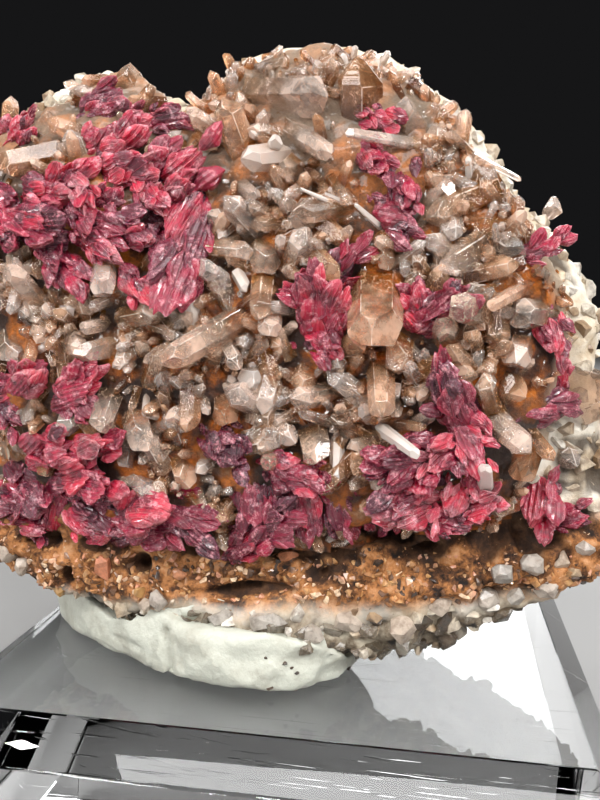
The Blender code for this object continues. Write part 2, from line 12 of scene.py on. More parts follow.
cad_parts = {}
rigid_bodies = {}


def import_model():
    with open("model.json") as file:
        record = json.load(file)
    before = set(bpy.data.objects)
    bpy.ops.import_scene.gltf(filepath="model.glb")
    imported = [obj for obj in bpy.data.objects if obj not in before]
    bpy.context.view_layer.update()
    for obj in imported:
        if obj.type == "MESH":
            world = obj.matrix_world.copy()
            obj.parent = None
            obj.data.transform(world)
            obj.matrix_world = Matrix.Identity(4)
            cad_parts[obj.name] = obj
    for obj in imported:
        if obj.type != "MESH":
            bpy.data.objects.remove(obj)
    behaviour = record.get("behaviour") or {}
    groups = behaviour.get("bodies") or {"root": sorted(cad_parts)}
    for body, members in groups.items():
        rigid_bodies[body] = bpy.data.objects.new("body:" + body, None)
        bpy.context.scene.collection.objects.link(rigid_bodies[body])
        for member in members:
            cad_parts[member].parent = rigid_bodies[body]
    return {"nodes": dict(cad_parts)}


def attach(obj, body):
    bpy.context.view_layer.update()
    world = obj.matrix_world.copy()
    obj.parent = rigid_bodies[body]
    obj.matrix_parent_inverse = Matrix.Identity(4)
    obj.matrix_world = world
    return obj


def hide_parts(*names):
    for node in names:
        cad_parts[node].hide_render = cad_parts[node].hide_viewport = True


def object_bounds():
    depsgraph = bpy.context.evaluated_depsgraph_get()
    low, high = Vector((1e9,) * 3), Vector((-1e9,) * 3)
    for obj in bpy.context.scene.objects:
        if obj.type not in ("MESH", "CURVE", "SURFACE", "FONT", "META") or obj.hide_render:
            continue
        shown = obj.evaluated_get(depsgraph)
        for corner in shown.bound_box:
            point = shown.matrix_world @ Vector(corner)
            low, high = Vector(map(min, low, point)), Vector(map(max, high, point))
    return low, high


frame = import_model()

# Viewpoint and table.
# The specimen is looked at from a little above and to the right, close by, as one looks at it on a shelf.
# Places on it are given below as they show from here, in pixels of a 600 by 800 picture.
MM = 0.001
EYE = Vector((18.4, -102.8, 55.2)) * MM
EYE_YAW = math.radians(10.2)
EYE_PITCH = math.radians(7.0)
EYE_REACH_PX = 750.0
PICTURE_MIDDLE = (300.0, 400.0)
PICTURE_LONG_SIDE = 800.0
cad_low, cad_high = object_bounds()

camera_data = bpy.data.cameras.new("camera")
camera_data.sensor_width = 36.0
camera_data.lens = camera_data.sensor_width * EYE_REACH_PX / PICTURE_LONG_SIDE
camera_data.clip_start = 0.001
camera = bpy.data.objects.new("camera", camera_data)
camera.location = EYE
camera.rotation_euler = (math.pi / 2 - EYE_PITCH, 0.0, EYE_YAW)
bpy.context.scene.collection.objects.link(camera)
bpy.context.scene.camera = camera


def sight(across, down):
    """The direction of the line of sight through a place in the picture."""
    ahead = Vector((-math.sin(EYE_YAW) * math.cos(EYE_PITCH), math.cos(EYE_YAW) * math.cos(EYE_PITCH),
                    -math.sin(EYE_PITCH)))
    right = Vector((math.cos(EYE_YAW), math.sin(EYE_YAW), 0.0))
    turn_x = (across - PICTURE_MIDDLE[0]) / EYE_REACH_PX
    turn_z = (PICTURE_MIDDLE[1] - down) / EYE_REACH_PX
    return ahead + right * turn_x + right.cross(ahead) * turn_z


def plain_material(name, colour, roughness):
    """A material with one Principled shader, and that shader."""
    made = bpy.data.materials.new(name)
    made.use_nodes = True
    shader = made.node_tree.nodes["Principled BSDF"]
    shader.inputs["Base Color"].default_value = (*colour, 1.0)
    shader.inputs["Roughness"].default_value = roughness
    return made, shader


def new_piece(name, mesh):
    made = bpy.data.objects.new(name, mesh)
    bpy.context.scene.collection.objects.link(made)
    return made


def mesh_of(bm, name):
    made = bpy.data.meshes.new(name)
    bm.to_mesh(made)
    bm.free()
    return made


TABLE_SIDE = 1.6
TABLE_GAP = 0.05 * MM
bm = bmesh.new()
bmesh.ops.create_grid(bm, x_segments=1, y_segments=1, size=TABLE_SIDE / 2)
bmesh.ops.translate(bm, vec=(0, 0, -TABLE_GAP), verts=bm.verts)
table_mesh = mesh_of(bm, "table")
table = new_piece("table", table_mesh)
table_mesh.materials.append(plain_material("pale_table", (0.32, 0.315, 0.31), 0.6)[0])


# Light.
# Soft boxes in a plain studio: a long one above the front, one at each side and one behind. A ring of small
# lamps makes the crystal faces glint.
SOFT_BOXES = {
    "strip": {"at": (0.00, -0.36, 0.48), "sides": (0.80, 0.16), "watts": 4.0},
    "left": {"at": (-0.40, -0.36, 0.22), "sides": (0.12, 0.12), "watts": 1.0},
    "right": {"at": (0.42, -0.26, 0.34), "sides": (0.14, 0.14), "watts": 1.8},
    "behind": {"at": (0.10, 0.55, 0.40), "sides": (0.40, 0.40), "watts": 2.6},
}
GLINT_LAMPS = 12
GLINT_SIDE = 0.026
GLINT_WATTS = 0.16
GLINT_AWAY = 0.42
MIDDLE = Vector((0, -0.01, 0.05))
for number in range(GLINT_LAMPS):
    turn = math.radians(-160 + 320 * number / (GLINT_LAMPS - 1)) * 0.5
    rise = math.radians((10, 32, 74)[number % 3])
    way = Vector((math.sin(turn) * math.cos(rise), -math.cos(turn) * math.cos(rise), math.sin(rise)))
    SOFT_BOXES[f"glint_{number:02d}"] = {
        "at": MIDDLE + way * GLINT_AWAY, "sides": (GLINT_SIDE, GLINT_SIDE), "watts": GLINT_WATTS}
for name, box in SOFT_BOXES.items():
    lamp = bpy.data.lights.new(name, "AREA")
    lamp.shape = "RECTANGLE"
    lamp.size, lamp.size_y = box["sides"]
    lamp.energy = box["watts"]
    holder = bpy.data.objects.new(name, lamp)
    holder.location = box["at"]
    holder.rotation_euler = (MIDDLE - Vector(box["at"])).to_track_quat("-Z", "Y").to_euler()
    bpy.context.scene.collection.objects.link(holder)
world = bpy.data.worlds.new("studio")
world.use_nodes = True
world.node_tree.nodes["Background"].inputs["Color"].default_value = (0.008, 0.008, 0.0085, 1.0)
world.node_tree.nodes["Background"].inputs["Strength"].default_value = 1.0
bpy.context.scene.world = world
bpy.context.scene.view_settings.view_transform = "Standard"


# Acrylic block.
# A clear cast slab of stock size with planed top edges, polished, its corners hardly broken. It has lain
# about: fine scratches cross its top.
ACRYLIC_EDGE = 0.12 * MM
ACRYLIC_SCRATCH = 0.02 * MM


def copy_of_node(node):
    """The solid of a node as a mesh with its doubled points merged."""
    bm = bmesh.new()
    bm.from_mesh(frame["nodes"][node].data)
    bmesh.ops.remove_doubles(bm, verts=bm.verts, dist=0.002 * MM)
    made = mesh_of(bm, node + "_copy")
    made.materials.clear()
    return made


def add_node(made, kind, **inputs):
    """A shader node with the inputs that are given by name."""
    node = made.node_tree.nodes.new(kind)
    for key, value in inputs.items():
        if key in node.inputs:
            node.inputs[key].default_value = value
        else:
            setattr(node, key, value)
    return node


def link(made, start, end):
    made.node_tree.links.new(start, end)


acrylic, shader = plain_material("clear_acrylic", (0.97, 0.985, 0.99), 0.0)
shader.inputs["Transmission Weight"].default_value = 1.0
shader.inputs["IOR"].default_value = 1.49
place = add_node(acrylic, "ShaderNodeTexCoord")
stretched = add_node(acrylic, "ShaderNodeMapping", Rotation=(0, 0, 0.5), Scale=(60, 2400, 400))
scratch = add_node(acrylic, "ShaderNodeTexNoise", Scale=1.0, Detail=3.0)
only_some = add_node(acrylic, "ShaderNodeMapRange")
only_some.inputs["From Min"].default_value = 0.66
only_some.inputs["From Max"].default_value = 0.72
bump = add_node(acrylic, "ShaderNodeBump", Strength=0.25)
bump.inputs["Distance"].default_value = ACRYLIC_SCRATCH
link(acrylic, place.outputs["Object"], stretched.inputs["Vector"])
link(acrylic, stretched.outputs["Vector"], scratch.inputs["Vector"])
link(acrylic, scratch.outputs["Fac"], only_some.inputs["Value"])
link(acrylic, only_some.outputs["Result"], bump.inputs["Height"])
link(acrylic, bump.outputs["Normal"], shader.inputs["Normal"])

block_mesh = copy_of_node("acrylic_base")
bm = bmesh.new()
bm.from_mesh(block_mesh)
bmesh.ops.dissolve_limit(bm, angle_limit=0.01, verts=bm.verts, edges=bm.edges)
bmesh.ops.bevel(bm, geom=bm.edges, offset=ACRYLIC_EDGE, segments=1, affect="EDGES")
bm.to_mesh(block_mesh)
bm.free()
block = new_piece("clear_block", block_mesh)
block_mesh.materials.append(acrylic)
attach(block, "root")
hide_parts("acrylic_base")


# Host rock.
# A slab of vein rock, broken all round. Its back and rim are cream and granular; along its front foot runs
# an earthy orange-brown band, with a thin layer of whitish quartz grains under that.
ROCK_CENTRE = (0.0, 52.0)
CRUST_OUTLINE = [
    (-38, 31), (-40, 36), (-40, 60), (-39, 69), (-37, 75), (-31, 79), (-26, 81), (-21, 84), (-16, 81),
    (-12, 77), (-8, 80.5), (-4, 85), (1, 86.5), (7, 86), (12, 83.5), (16, 80), (20, 75.5), (23, 71),
    (26, 67), (29, 63), (32, 58), (33, 52), (32, 46), (30, 38), (29, 33), (25, 31.5), (15, 30.5),
    (0, 29.5), (-15, 29.5), (-30, 29.5),
]
CRUST_THICK = 3.2 * MM
CRUST_EDGE = 4.5 * MM
CRUST_REACH = 0.8 * MM
ROCK_MIDDLE_Y = (-19.0 * MM, -8.0 * MM)
ROCK_FOOT_Z = 17.0 * MM
ROCK_TOP_Z = 87.0 * MM
ROCK_CELL = 0.55 * MM


def eased(value):
    """0 to 1, slow at both ends."""
    value = min(max(value, 0.0), 1.0)
    return value * value * (3.0 - 2.0 * value)


def outline_radius(outline, centre):
    """A function that gives the distance from the centre to the outline in any direction."""
    polar = sorted((math.atan2(b - centre[1], a - centre[0]), math.hypot(a - centre[0], b - centre[1]))
                   for a, b in outline)
    first, last = polar[0], polar[-1]
    polar = [(last[0] - 2 * math.pi, last[1])] + polar + [(first[0] + 2 * math.pi, first[1])]
    angles = np.array([angle for angle, _ in polar])
    reaches = np.array([reach for _, reach in polar])

    def radius(angle):
        return float(np.interp(angle, angles, reaches)) * MM
    return radius


crust_radius = outline_radius(CRUST_OUTLINE, ROCK_CENTRE)


def under_crust(place):
    """1 where the crystal crust covers the rock, 0 where the rock is bare, and between along its edge."""
    x, z = place[0] - ROCK_CENTRE[0] * MM, place[2] - ROCK_CENTRE[1] * MM
    inside = eased((crust_radius(math.atan2(z, x)) + CRUST_REACH - math.hypot(x, z)) / CRUST_EDGE)
    rise = eased((place[2] - ROCK_FOOT_Z) / (ROCK_TOP_Z - ROCK_FOOT_Z))
    middle = ROCK_MIDDLE_Y[0] + (ROCK_MIDDLE_Y[1] - ROCK_MIDDLE_Y[0]) * rise
    return inside * eased((middle - place[1]) / CRUST_EDGE)


def room(places, reach):
    """1 well inside the box of the solids, falling to 0 at its sides, so that nothing stands out of it."""
    low, high = np.array(cad_low), np.array(cad_high)
    spare = np.minimum(places - low, high - places)[:, [0, 2]].min(axis=1)
    return np.clip(spare / reach, 0, 1)


def seen_from_eye(points):
    """Where points show in the picture."""
    ahead = np.array(sight(*PICTURE_MIDDLE))
    right = np.array((math.cos(EYE_YAW), math.sin(EYE_YAW), 0.0))
    away = points - np.array(EYE)
    depth = away @ ahead
    across = PICTURE_MIDDLE[0] + EYE_REACH_PX * (away @ right) / depth
    down = PICTURE_MIDDLE[1] - EYE_REACH_PX * (away @ np.cross(right, ahead)) / depth
    return np.column_stack((across, down))


def remeshed(mesh, cell):
    """The same shape in even square cells."""
    carrier = new_piece("carrier", mesh)
    step = carrier.modifiers.new("even", "REMESH")
    step.mode = "VOXEL"
    step.voxel_size = cell
    made = bpy.data.meshes.new_from_object(carrier.evaluated_get(bpy.context.evaluated_depsgraph_get()))
    bpy.data.objects.remove(carrier)
    return made


def points_of(mesh):
    places = np.zeros(len(mesh.vertices) * 3)
    mesh.vertices.foreach_get("co", places)
    normals = np.zeros(len(mesh.vertices) * 3)
    mesh.vertices.foreach_get("normal", normals)
    return places.reshape(-1, 3), normals.reshape(-1, 3)


def set_points(mesh, places):
    mesh.vertices.foreach_set("co", places.ravel())
    mesh.update()


def set_values(mesh, name, values):
    layer = mesh.attributes.new(name, "FLOAT", "POINT")
    layer.data.foreach_set("value", np.asarray(values, dtype=np.float32))


def grainy(place, size, seed):
    """Rounded grains with creases between them, about -1 to 1."""
    at = Vector(place) / size + Vector((seed, 2.7 * seed, -seed))
    return 0.9 - 2.0 * noise.voronoi(at)[0][0]


def rough_at(place, size, seed):
    """Broken-stone relief of several sizes, about -1 to 1."""
    at = Vector(place) / size + Vector((seed, -seed, 1.7 * seed))
    return noise.fractal(at, 0.9, 2.1, 4)


# The foot of the rock sags over the putty: along the picture in pixels, and by how much in millimetres.
FOOT_SAG = ([100, 150, 182, 212, 250, 300, 345], [0.0, 0.5, 0.7, 3.0, 4.2, 2.6, 0.0])
FOOT_SAG_Z = 22.5 * MM
FOOT_SAG_HIGH = 5.0 * MM
SAG_DOWN = 0.4
SAG_FORWARD = 0.8
# Cavities of the band, pushed back and painted dark as painted shade: where each shows, and half its width
# and its height, in pixels.
CAVITIES = [(45, 541, 20, 9), (90, 546, 12, 7), (195, 549, 16, 8), (357, 530, 14, 7), (392, 536, 20, 9),
            (240, 590, 44, 5), (140, 566, 8, 10), (320, 578, 12, 6), (430, 552, 14, 6), (66, 575, 7, 9)]
CAVITY_DEEP = 2.6 * MM
BAND_HIGH_Z = 30.5 * MM
BAND_LOW_Z = 19.5 * MM
SHADOWED_BAND_FROM_Z = 26.5 * MM
WANDER_MM = 2.2
rock_mesh = remeshed(copy_of_node("matrix_rock"), ROCK_CELL)
places, normals = points_of(rock_mesh)
shown = seen_from_eye(places)
facing = np.clip(-normals[:, 1] * 2 + 0.6, 0, 1)
low_down = np.clip((FOOT_SAG_Z - places[:, 2]) / FOOT_SAG_HIGH + 0.2, 0, 1)
sag = np.interp(shown[:, 0], *FOOT_SAG) * MM * facing * low_down
places[:, 2] -= SAG_DOWN * sag
places[:, 1] -= SAG_FORWARD * sag
cavity = np.zeros(len(places))
for across, down, half_wide, half_tall in CAVITIES:
    off = np.hypot((shown[:, 0] - across) / half_wide, (shown[:, 1] - down) / half_tall)
    cavity = np.maximum(cavity, np.exp(-off ** 3) * facing)
places[:, 1] += CAVITY_DEEP * cavity
smooth_rock = places.copy()
cover = np.array([under_crust(p) for p in places])
front = np.array([eased((-n[1] + 0.3) / 0.6) for n in normals])
wander = np.array([noise.noise(Vector(p) / (7 * MM)) for p in places]) * WANDER_MM * MM
band_low = BAND_LOW_Z + 0.08 * np.clip(places[:, 0] + 5 * MM, 0, None)
earth = front * np.clip((BAND_HIGH_Z + 4 * MM - places[:, 2] + wander) / (3 * MM), 0, 1)
earth *= np.clip((places[:, 2] + wander - band_low) / (2.0 * MM), 0, 1)
pale_foot = np.clip((band_low + 1.0 * MM - places[:, 2] - wander) / (2.0 * MM), 0, 1)
relief = np.array([0.9 * rough_at(p, 13 * MM, 3.0) + 0.7 * rough_at(p, 5 * MM, 2.0)
                   + 0.45 * grainy(p, 2.4 * MM, 5.0) + 0.22 * grainy(p, 1.1 * MM, 9.0) for p in places])
# The top of the band, under the overhanging crust, is darkened as painted shadow through the value "relief";
# there it is also rougher and carries fewer granules.
shadowed_band_top = earth * np.clip((places[:, 2] + wander - SHADOWED_BAND_FROM_Z) / (2.5 * MM), 0, 1)
strength = 0.9 + 0.7 * earth + 0.8 * shadowed_band_top + 0.4 * pale_foot
places += normals * ((relief * strength - 0.2) * MM * room(places, 2 * MM))[:, None]
set_points(rock_mesh, places)
rock_mesh.shade_smooth()
set_values(rock_mesh, "earth", earth)
set_values(rock_mesh, "pale_foot", pale_foot)
# The value "relief" is low in hollows and cavities; the rock material paints it near black there, as painted
# shade.
set_values(rock_mesh, "relief", relief * 0.5 + 0.38 - cavity - 0.25 * shadowed_band_top)


def value_of(made, name):
    """The output of a node that reads one of the mesh's own values."""
    node = add_node(made, "ShaderNodeAttribute")
    node.attribute_name = name
    return node.outputs["Fac"]


def ramp(made, fac, stops):
    """Colours along a value: a list of position and colour."""
    node = add_node(made, "ShaderNodeValToRGB")
    cells = node.color_ramp.elements
    while len(cells) < len(stops):
        cells.new(0.5)
    for cell, (position, colour) in zip(cells, stops):
        cell.position = position
        cell.color = (*colour, 1.0)
    link(made, fac, node.inputs["Fac"])
    return node.outputs["Color"]


def noise_value(made, size, detail=4.0, roughness=0.6):
    """Noise on Object coordinates, its blotches about so large in metres."""
    where = add_node(made, "ShaderNodeTexCoord")
    node = add_node(made, "ShaderNodeTexNoise", Scale=1.0 / size, Detail=detail, Roughness=roughness)
    link(made, where.outputs["Object"], node.inputs["Vector"])
    return node.outputs["Fac"]


def mixed(made, fac, first, second):
    node = add_node(made, "ShaderNodeMix")
    node.data_type = "RGBA"
    link(made, fac, node.inputs["Factor"])
    colours = [socket for socket in node.inputs if socket.type == "RGBA"]
    for socket, value in zip(colours, (first, second)):
        if isinstance(value, tuple):
            socket.default_value = (*value, 1.0)
        else:
            link(made, value, socket)
    return [socket for socket in node.outputs if socket.type == "RGBA"][0]


def bumped(made, shader, height, distance, strength=1.0):
    node = add_node(made, "ShaderNodeBump", Strength=strength)
    node.inputs["Distance"].default_value = distance
    link(made, height, node.inputs["Height"])
    link(made, node.outputs["Normal"], shader.inputs["Normal"])


rock_stone, shader = plain_material("vein_rock", (0.6, 0.5, 0.4), 0.75)
shader.inputs["Specular IOR Level"].default_value = 0.3
cream = ramp(rock_stone, noise_value(rock_stone, 6 * MM, 8.0, 0.65), [
    (0.25, (0.30, 0.19, 0.10)), (0.42, (0.56, 0.45, 0.32)), (0.55, (0.72, 0.65, 0.54)),
    (0.75, (0.83, 0.79, 0.72))])
brown = ramp(rock_stone, noise_value(rock_stone, 2.6 * MM, 8.0, 0.7), [
    (0.37, (0.010, 0.005, 0.003)), (0.45, (0.11, 0.042, 0.014)), (0.54, (0.38, 0.155, 0.050)),
    (0.68, (0.56, 0.31, 0.16))])
foot = ramp(rock_stone, noise_value(rock_stone, 2.2 * MM, 6.0, 0.65), [
    (0.36, (0.03, 0.027, 0.024)), (0.47, (0.18, 0.135, 0.09)), (0.62, (0.38, 0.33, 0.25))])
colour = mixed(rock_stone, value_of(rock_stone, "earth"), cream, brown)
colour = mixed(rock_stone, value_of(rock_stone, "pale_foot"), colour, foot)
# Painted shade: where the value "relief" is low, in hollows, cavities and the shadowed top of the band, the
# colour goes near black.
painted_pit_shade = ramp(rock_stone, value_of(rock_stone, "relief"), [(0.0, (0.85,) * 3), (0.22, (0.0,) * 3)])
colour = mixed(rock_stone, painted_pit_shade, colour, (0.025, 0.012, 0.007))
link(rock_stone, colour, shader.inputs["Base Color"])
bumped(rock_stone, shader, noise_value(rock_stone, 0.5 * MM, 6.0, 0.7), 0.25 * MM)

rock = new_piece("vein_rock", rock_mesh)
rock_mesh.materials.append(rock_stone)
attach(rock, "root")
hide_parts("matrix_rock")


# Quartz bed.
# The druse that the crystals stand in: grown-together quartz stained amber and brown by iron, which shows
# as glowing orange and dark brown between the clear crystals; the hollows of its relief are painted near
# black as painted shade. It pales towards its upper rim.
BED_SUNK = 0.8 * MM
MARGIN_FROM_Z = 36.0 * MM
MARGIN_OVER = 8.0 * MM
PALE_FROM_Z = 60.0 * MM
PALE_OVER = 24.0 * MM
BED_RELIEF_MM = 0.75


def ray_tree(mesh):
    """Finds where a line of sight meets the mesh."""
    bm = bmesh.new()
    bm.from_mesh(mesh)
    tree = BVHTree.FromBMesh(bm)
    bm.free()
    return tree


bed_mesh = rock_mesh.copy()
bed_mesh.materials.clear()
bed_relief = np.array([0.7 * rough_at(p, 6 * MM, 4.0) + 0.7 * grainy(p, 3.2 * MM, 1.0)
                       + 0.3 * grainy(p, 1.5 * MM, 7.0) for p in smooth_rock])
thickness = cover * (CRUST_THICK + BED_SUNK) - BED_SUNK
bed_places = smooth_rock + normals * thickness[:, None]
set_points(bed_mesh, bed_places)
face_tree = ray_tree(bed_mesh)
bed_places += normals * (bed_relief * cover * BED_RELIEF_MM * MM)[:, None]
set_points(bed_mesh, bed_places)
set_values(bed_mesh, "raised", bed_relief * 0.5 + 0.5)
above_foot = np.clip((smooth_rock[:, 2] - MARGIN_FROM_Z) / MARGIN_OVER, 0, 1)
high_up = np.clip((smooth_rock[:, 2] - PALE_FROM_Z) / PALE_OVER, 0, 1)
set_values(bed_mesh, "margin", (1 - cover) * above_foot + 0.3 * high_up)
bm = bmesh.new()
bm.from_mesh(bed_mesh)
bm.verts.ensure_lookup_table()
hidden = [bm.verts[i] for i in np.flatnonzero(cover < 0.02)]
bmesh.ops.delete(bm, geom=hidden, context="VERTS")
bm.to_mesh(bed_mesh)
bm.free()

amber, shader = plain_material("iron_stained_quartz", (0.4, 0.2, 0.1), 0.45)
stain = ramp(amber, noise_value(amber, 6 * MM, 7.0, 0.68), [
    (0.40, (0.05, 0.014, 0.003)), (0.46, (0.19, 0.046, 0.003)), (0.54, (0.56, 0.15, 0.006)),
    (0.60, (0.26, 0.080, 0.014)), (0.72, (0.46, 0.26, 0.14))])
# Painted shade: the low parts of the bed's relief go near black.
painted_hollow_shade = ramp(amber, value_of(amber, "raised"), [(0.34, (0.0,) * 3), (0.60, (1.0,) * 3)])
stain = mixed(amber, painted_hollow_shade, (0.030, 0.010, 0.003), stain)
margin = ramp(amber, value_of(amber, "margin"), [(0.02, (0.0,) * 3), (0.45, (1.0,) * 3)])
stain = mixed(amber, margin, stain, (0.50, 0.37, 0.26))
link(amber, stain, shader.inputs["Base Color"])
shader.inputs["Coat Weight"].default_value = 0.35
shader.inputs["Coat Roughness"].default_value = 0.06
bumped(amber, shader, noise_value(amber, 0.8 * MM, 6.0, 0.7), 0.9 * MM)
bed = new_piece("stained_quartz_bed", bed_mesh)
bed_mesh.materials.append(amber)
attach(bed, "root")


# Large quartz crystals.
# Clear to smoky prisms that lie every way over the bed, each with six unequal sides and a point of three
# large and three small faces. Their edges are sharp and their sides finely lined across.
# Each: where its root and its tip show, its width in pixels, how far the tip stands out in millimetres, and
# its hue, from brown at 0 to clear, and milky white from 0.93 up; some white ones stand for glints, as a
# painted highlight.
QUARTZ = [
    (64, 154, -14, 168, 32, 4.0, 0.30), (126, 96, 131, 54, 32, 1.5, 0.70), (48, 132, 50, 104, 38, 2.0, 0.90),
    (250, 168, 221, 88, 34, 4.5, 0.33), (258, 98, 332, 98, 44, 3.0, 0.80),
    (280, 122, 332, 156, 28, 4.0, 0.75), (440, 150, 341, 131, 20, 5.0, 0.95),
    (354, 213, 299, 188, 9, 5.5, 1.0), (392, 238, 353, 203, 10, 5.0, 1.0), (356, 208, 324, 193, 7, 5.0, 1.0),
    (357, 118, 357, 48, 48, 2.5, 0.08), (410, 140, 410, 86, 42, 3.0, 0.90),
    (436, 138, 524, 182, 12, 3.5, 0.85), (430, 182, 428, 146, 12, 4.0, 0.90),
    (448, 215, 444, 176, 22, 2.5, 0.80), (470, 198, 468, 155, 10, 4.0, 1.0),
    (500, 204, 502, 180, 11, 2.5, 0.90), (562, 260, 463, 284, 27, 5.5, 0.62),
    (542, 276, 488, 308, 20, 5.0, 0.50), (498, 260, 495, 222, 11, 3.5, 0.85),
    (420, 264, 460, 274, 11, 3.5, 0.90), (545, 318, 510, 312, 34, 3.0, 0.70),
    (446, 352, 444, 317, 28, 3.5, 0.60), (520, 342, 514, 368, 32, 3.0, 0.70),
    (378, 286, 377, 356, 64, 7.0, 0.33), (258, 308, 153, 367, 36, 6.5, 0.66),
    (266, 244, 262, 276, 36, 3.0, 0.60), (272, 296, 270, 340, 30, 4.0, 0.70),
    (330, 215, 284, 220, 30, 2.5, 0.60), (244, 224, 204, 214, 22, 2.5, 0.70),
    (118, 320, 77, 330, 18, 3.5, 0.75), (128, 344, 68, 356, 26, 4.0, 0.70),
    (106, 262, 104, 296, 30, 5.5, 0.95), (194, 266, 216, 272, 26, 5.0, 0.90),
    (12, 336, 14, 368, 28, 2.5, 0.80), (116, 384, 97, 438, 30, 4.5, 0.75),
    (136, 412, 146, 456, 34, 3.5, 0.70), (76, 402, 62, 440, 24, 3.5, 0.85),
    (204, 408, 162, 420, 24, 3.0, 0.70), (124, 438, 128, 470, 30, 2.5, 0.80),
    (120, 470, 160, 500, 26, 2.5, 0.90), (380, 352, 382, 424, 34, 5.5, 0.36),
    (372, 422, 420, 457, 20, 6.5, 1.0), (312, 424, 322, 468, 36, 4.0, 0.60),
    (340, 392, 288, 400, 28, 4.0, 0.70), (226, 394, 226, 430, 34, 3.0, 0.12),
    (240, 412, 262, 422, 18, 2.5, 0.60), (270, 446, 268, 470, 22, 3.0, 0.60),
    (356, 442, 358, 478, 20, 3.5, 0.30), (508, 408, 558, 464, 20, 5.0, 0.15),
    (532, 446, 520, 486, 32, 4.0, 0.20), (486, 502, 486, 464, 20, 5.5, 1.0),
    (548, 208, 566, 216, 24, 1.0, 0.95), (510, 250, 530, 226, 24, 2.0, 0.35),
    (40, 300, 12, 254, 12, 3.5, 0.85), (310, 362, 300, 394, 28, 3.0, 0.25),
    (478, 360, 470, 328, 20, 3.0, 0.20), (176, 452, 190, 492, 30, 2.5, 0.35),
    (30, 440, 6, 462, 26, 2.5, 0.60), (556, 440, 580, 470, 30, 2.0, 0.80), (50, 452, 44, 482, 22, 3.0, 0.33),
    (14, 528, -6, 566, 22, 1.5, 0.90), (24, 534, 30, 574, 16, 1.5, 0.90), (198, 312, 186, 288, 20, 2.5, 0.50),
    (216, 330, 240, 372, 24, 2.5, 0.70), (170, 398, 160, 372, 22, 2.5, 0.80),
    (486, 374, 532, 400, 36, 2.0, 0.06), (236, 180, 258, 200, 20, 3.0, 0.80),
    (300, 158, 280, 176, 22, 2.5, 0.55), (420, 388, 406, 362, 20, 3.0, 0.85),
]
RIGHT_CRYSTAL = {"root": (572, 400), "tip": (640, 372), "width": 7.5 * MM, "y": -17.0 * MM}
QUARTZ_ROOT = 2.4 * MM
QUARTZ_EDGE = 0.055 * MM
POINT_SLOPE = math.radians(51.8)
EDGE_Y = -12.0 * MM
FAR_APART = 14.0 * MM


def seen_at(across, down, y):
    way = sight(across, down)
    return EYE + way * ((y - EYE.y) / way.y)


def face_at(across, down, out, beside=None):
    """The point of the crystal face seen there, moved out towards the eye."""
    way = sight(across, down).normalized()
    hit = face_tree.ray_cast(EYE, way)[0]
    if hit is None or (beside and (hit - beside).length > FAR_APART):
        hit = seen_at(across, down, beside.y if beside else EDGE_Y)
    return hit - way * out


def pixel_size(point):
    return (point - EYE).length / EYE_REACH_PX


def frame_along(start, end, turn):
    """Axes with z from start to end, y roughly towards the eye, turned about z."""
    z_axis = (end - start).normalized()
    x_axis = (EYE - start).normalized().cross(z_axis).normalized()
    axes = Matrix((x_axis, z_axis.cross(x_axis), z_axis)).transposed().to_4x4()
    return Matrix.Translation(start) @ axes @ Matrix.Rotation(turn, 4, "Z")


def cut_by_plane(bm, point, normal):
    bmesh.ops.bisect_plane(bm, geom=bm.verts[:] + bm.edges[:] + bm.faces[:], plane_co=point, plane_no=normal,
                           clear_outer=True, dist=1e-7)
    bmesh.ops.holes_fill(bm, edges=bm.edges, sides=0)


def quartz_crystal(width, length, dice):
    """One crystal from z 0 to its length, cut from a block by its own faces."""
    bm = bmesh.new()
    bmesh.ops.create_cube(bm, size=1.0)
    bmesh.ops.scale(bm, vec=(2.4 * width, 2.4 * width, length), verts=bm.verts)
    bmesh.ops.translate(bm, vec=(0, 0, length / 2), verts=bm.verts)
    for side in range(6):
        angle = math.radians(60 * side)
        flat = Vector((math.cos(angle), math.sin(angle), 0))
        cut_by_plane(bm, flat * width * 0.44 * dice.uniform(0.78, 1.12), flat + Vector((0, 0, 0.03)))
        drop = width * (dice.uniform(0.0, 0.12) if side % 2 else dice.uniform(0.05, 0.32))
        slope = flat * math.sin(POINT_SLOPE) + Vector((0, 0, math.cos(POINT_SLOPE)))
        cut_by_plane(bm, Vector((0, 0, length - drop)), slope)
    bmesh.ops.dissolve_degenerate(bm, dist=1e-6, edges=bm.edges)
    return bm


def with_values(bm, length, root_share=0.0):
    """Stores on each point how far along the crystal it lies: in metres, and as a share from root to tip."""
    along = bm.verts.layers.float.new("along")
    ripe = bm.verts.layers.float.new("ripe")
    for vert in bm.verts:
        vert[along] = vert.co.z
        vert[ripe] = (vert.co.z / length - root_share) / (1 - root_share)


def broken_edges(bm, width):
    """Narrow flats along the edges, marked with the value "rim", which the quartz material paints pale as
    painted highlight.
    """
    rim = bm.faces.layers.float.new("rim")
    made = bmesh.ops.bevel(bm, geom=bm.edges, offset=width, segments=1, affect="EDGES", clamp_overlap=True)
    for face in made["faces"]:
        face[rim] = 1.0


def finished_crystal(bm, length, edge, hue):
    """Breaks the crystal's edges and stores its values."""
    broken_edges(bm, edge)
    with_values(bm, length, QUARTZ_ROOT / length)
    hues = bm.verts.layers.float.new("hue")
    for vert in bm.verts:
        vert[hues] = hue


def joined(parts, name):
    """Several small meshes as one."""
    whole = bmesh.new()
    for part, matrix in parts:
        piece = mesh_of(part, "part")
        piece.transform(matrix)
        whole.from_mesh(piece)
        bpy.data.meshes.remove(piece)
    return mesh_of(whole, name)


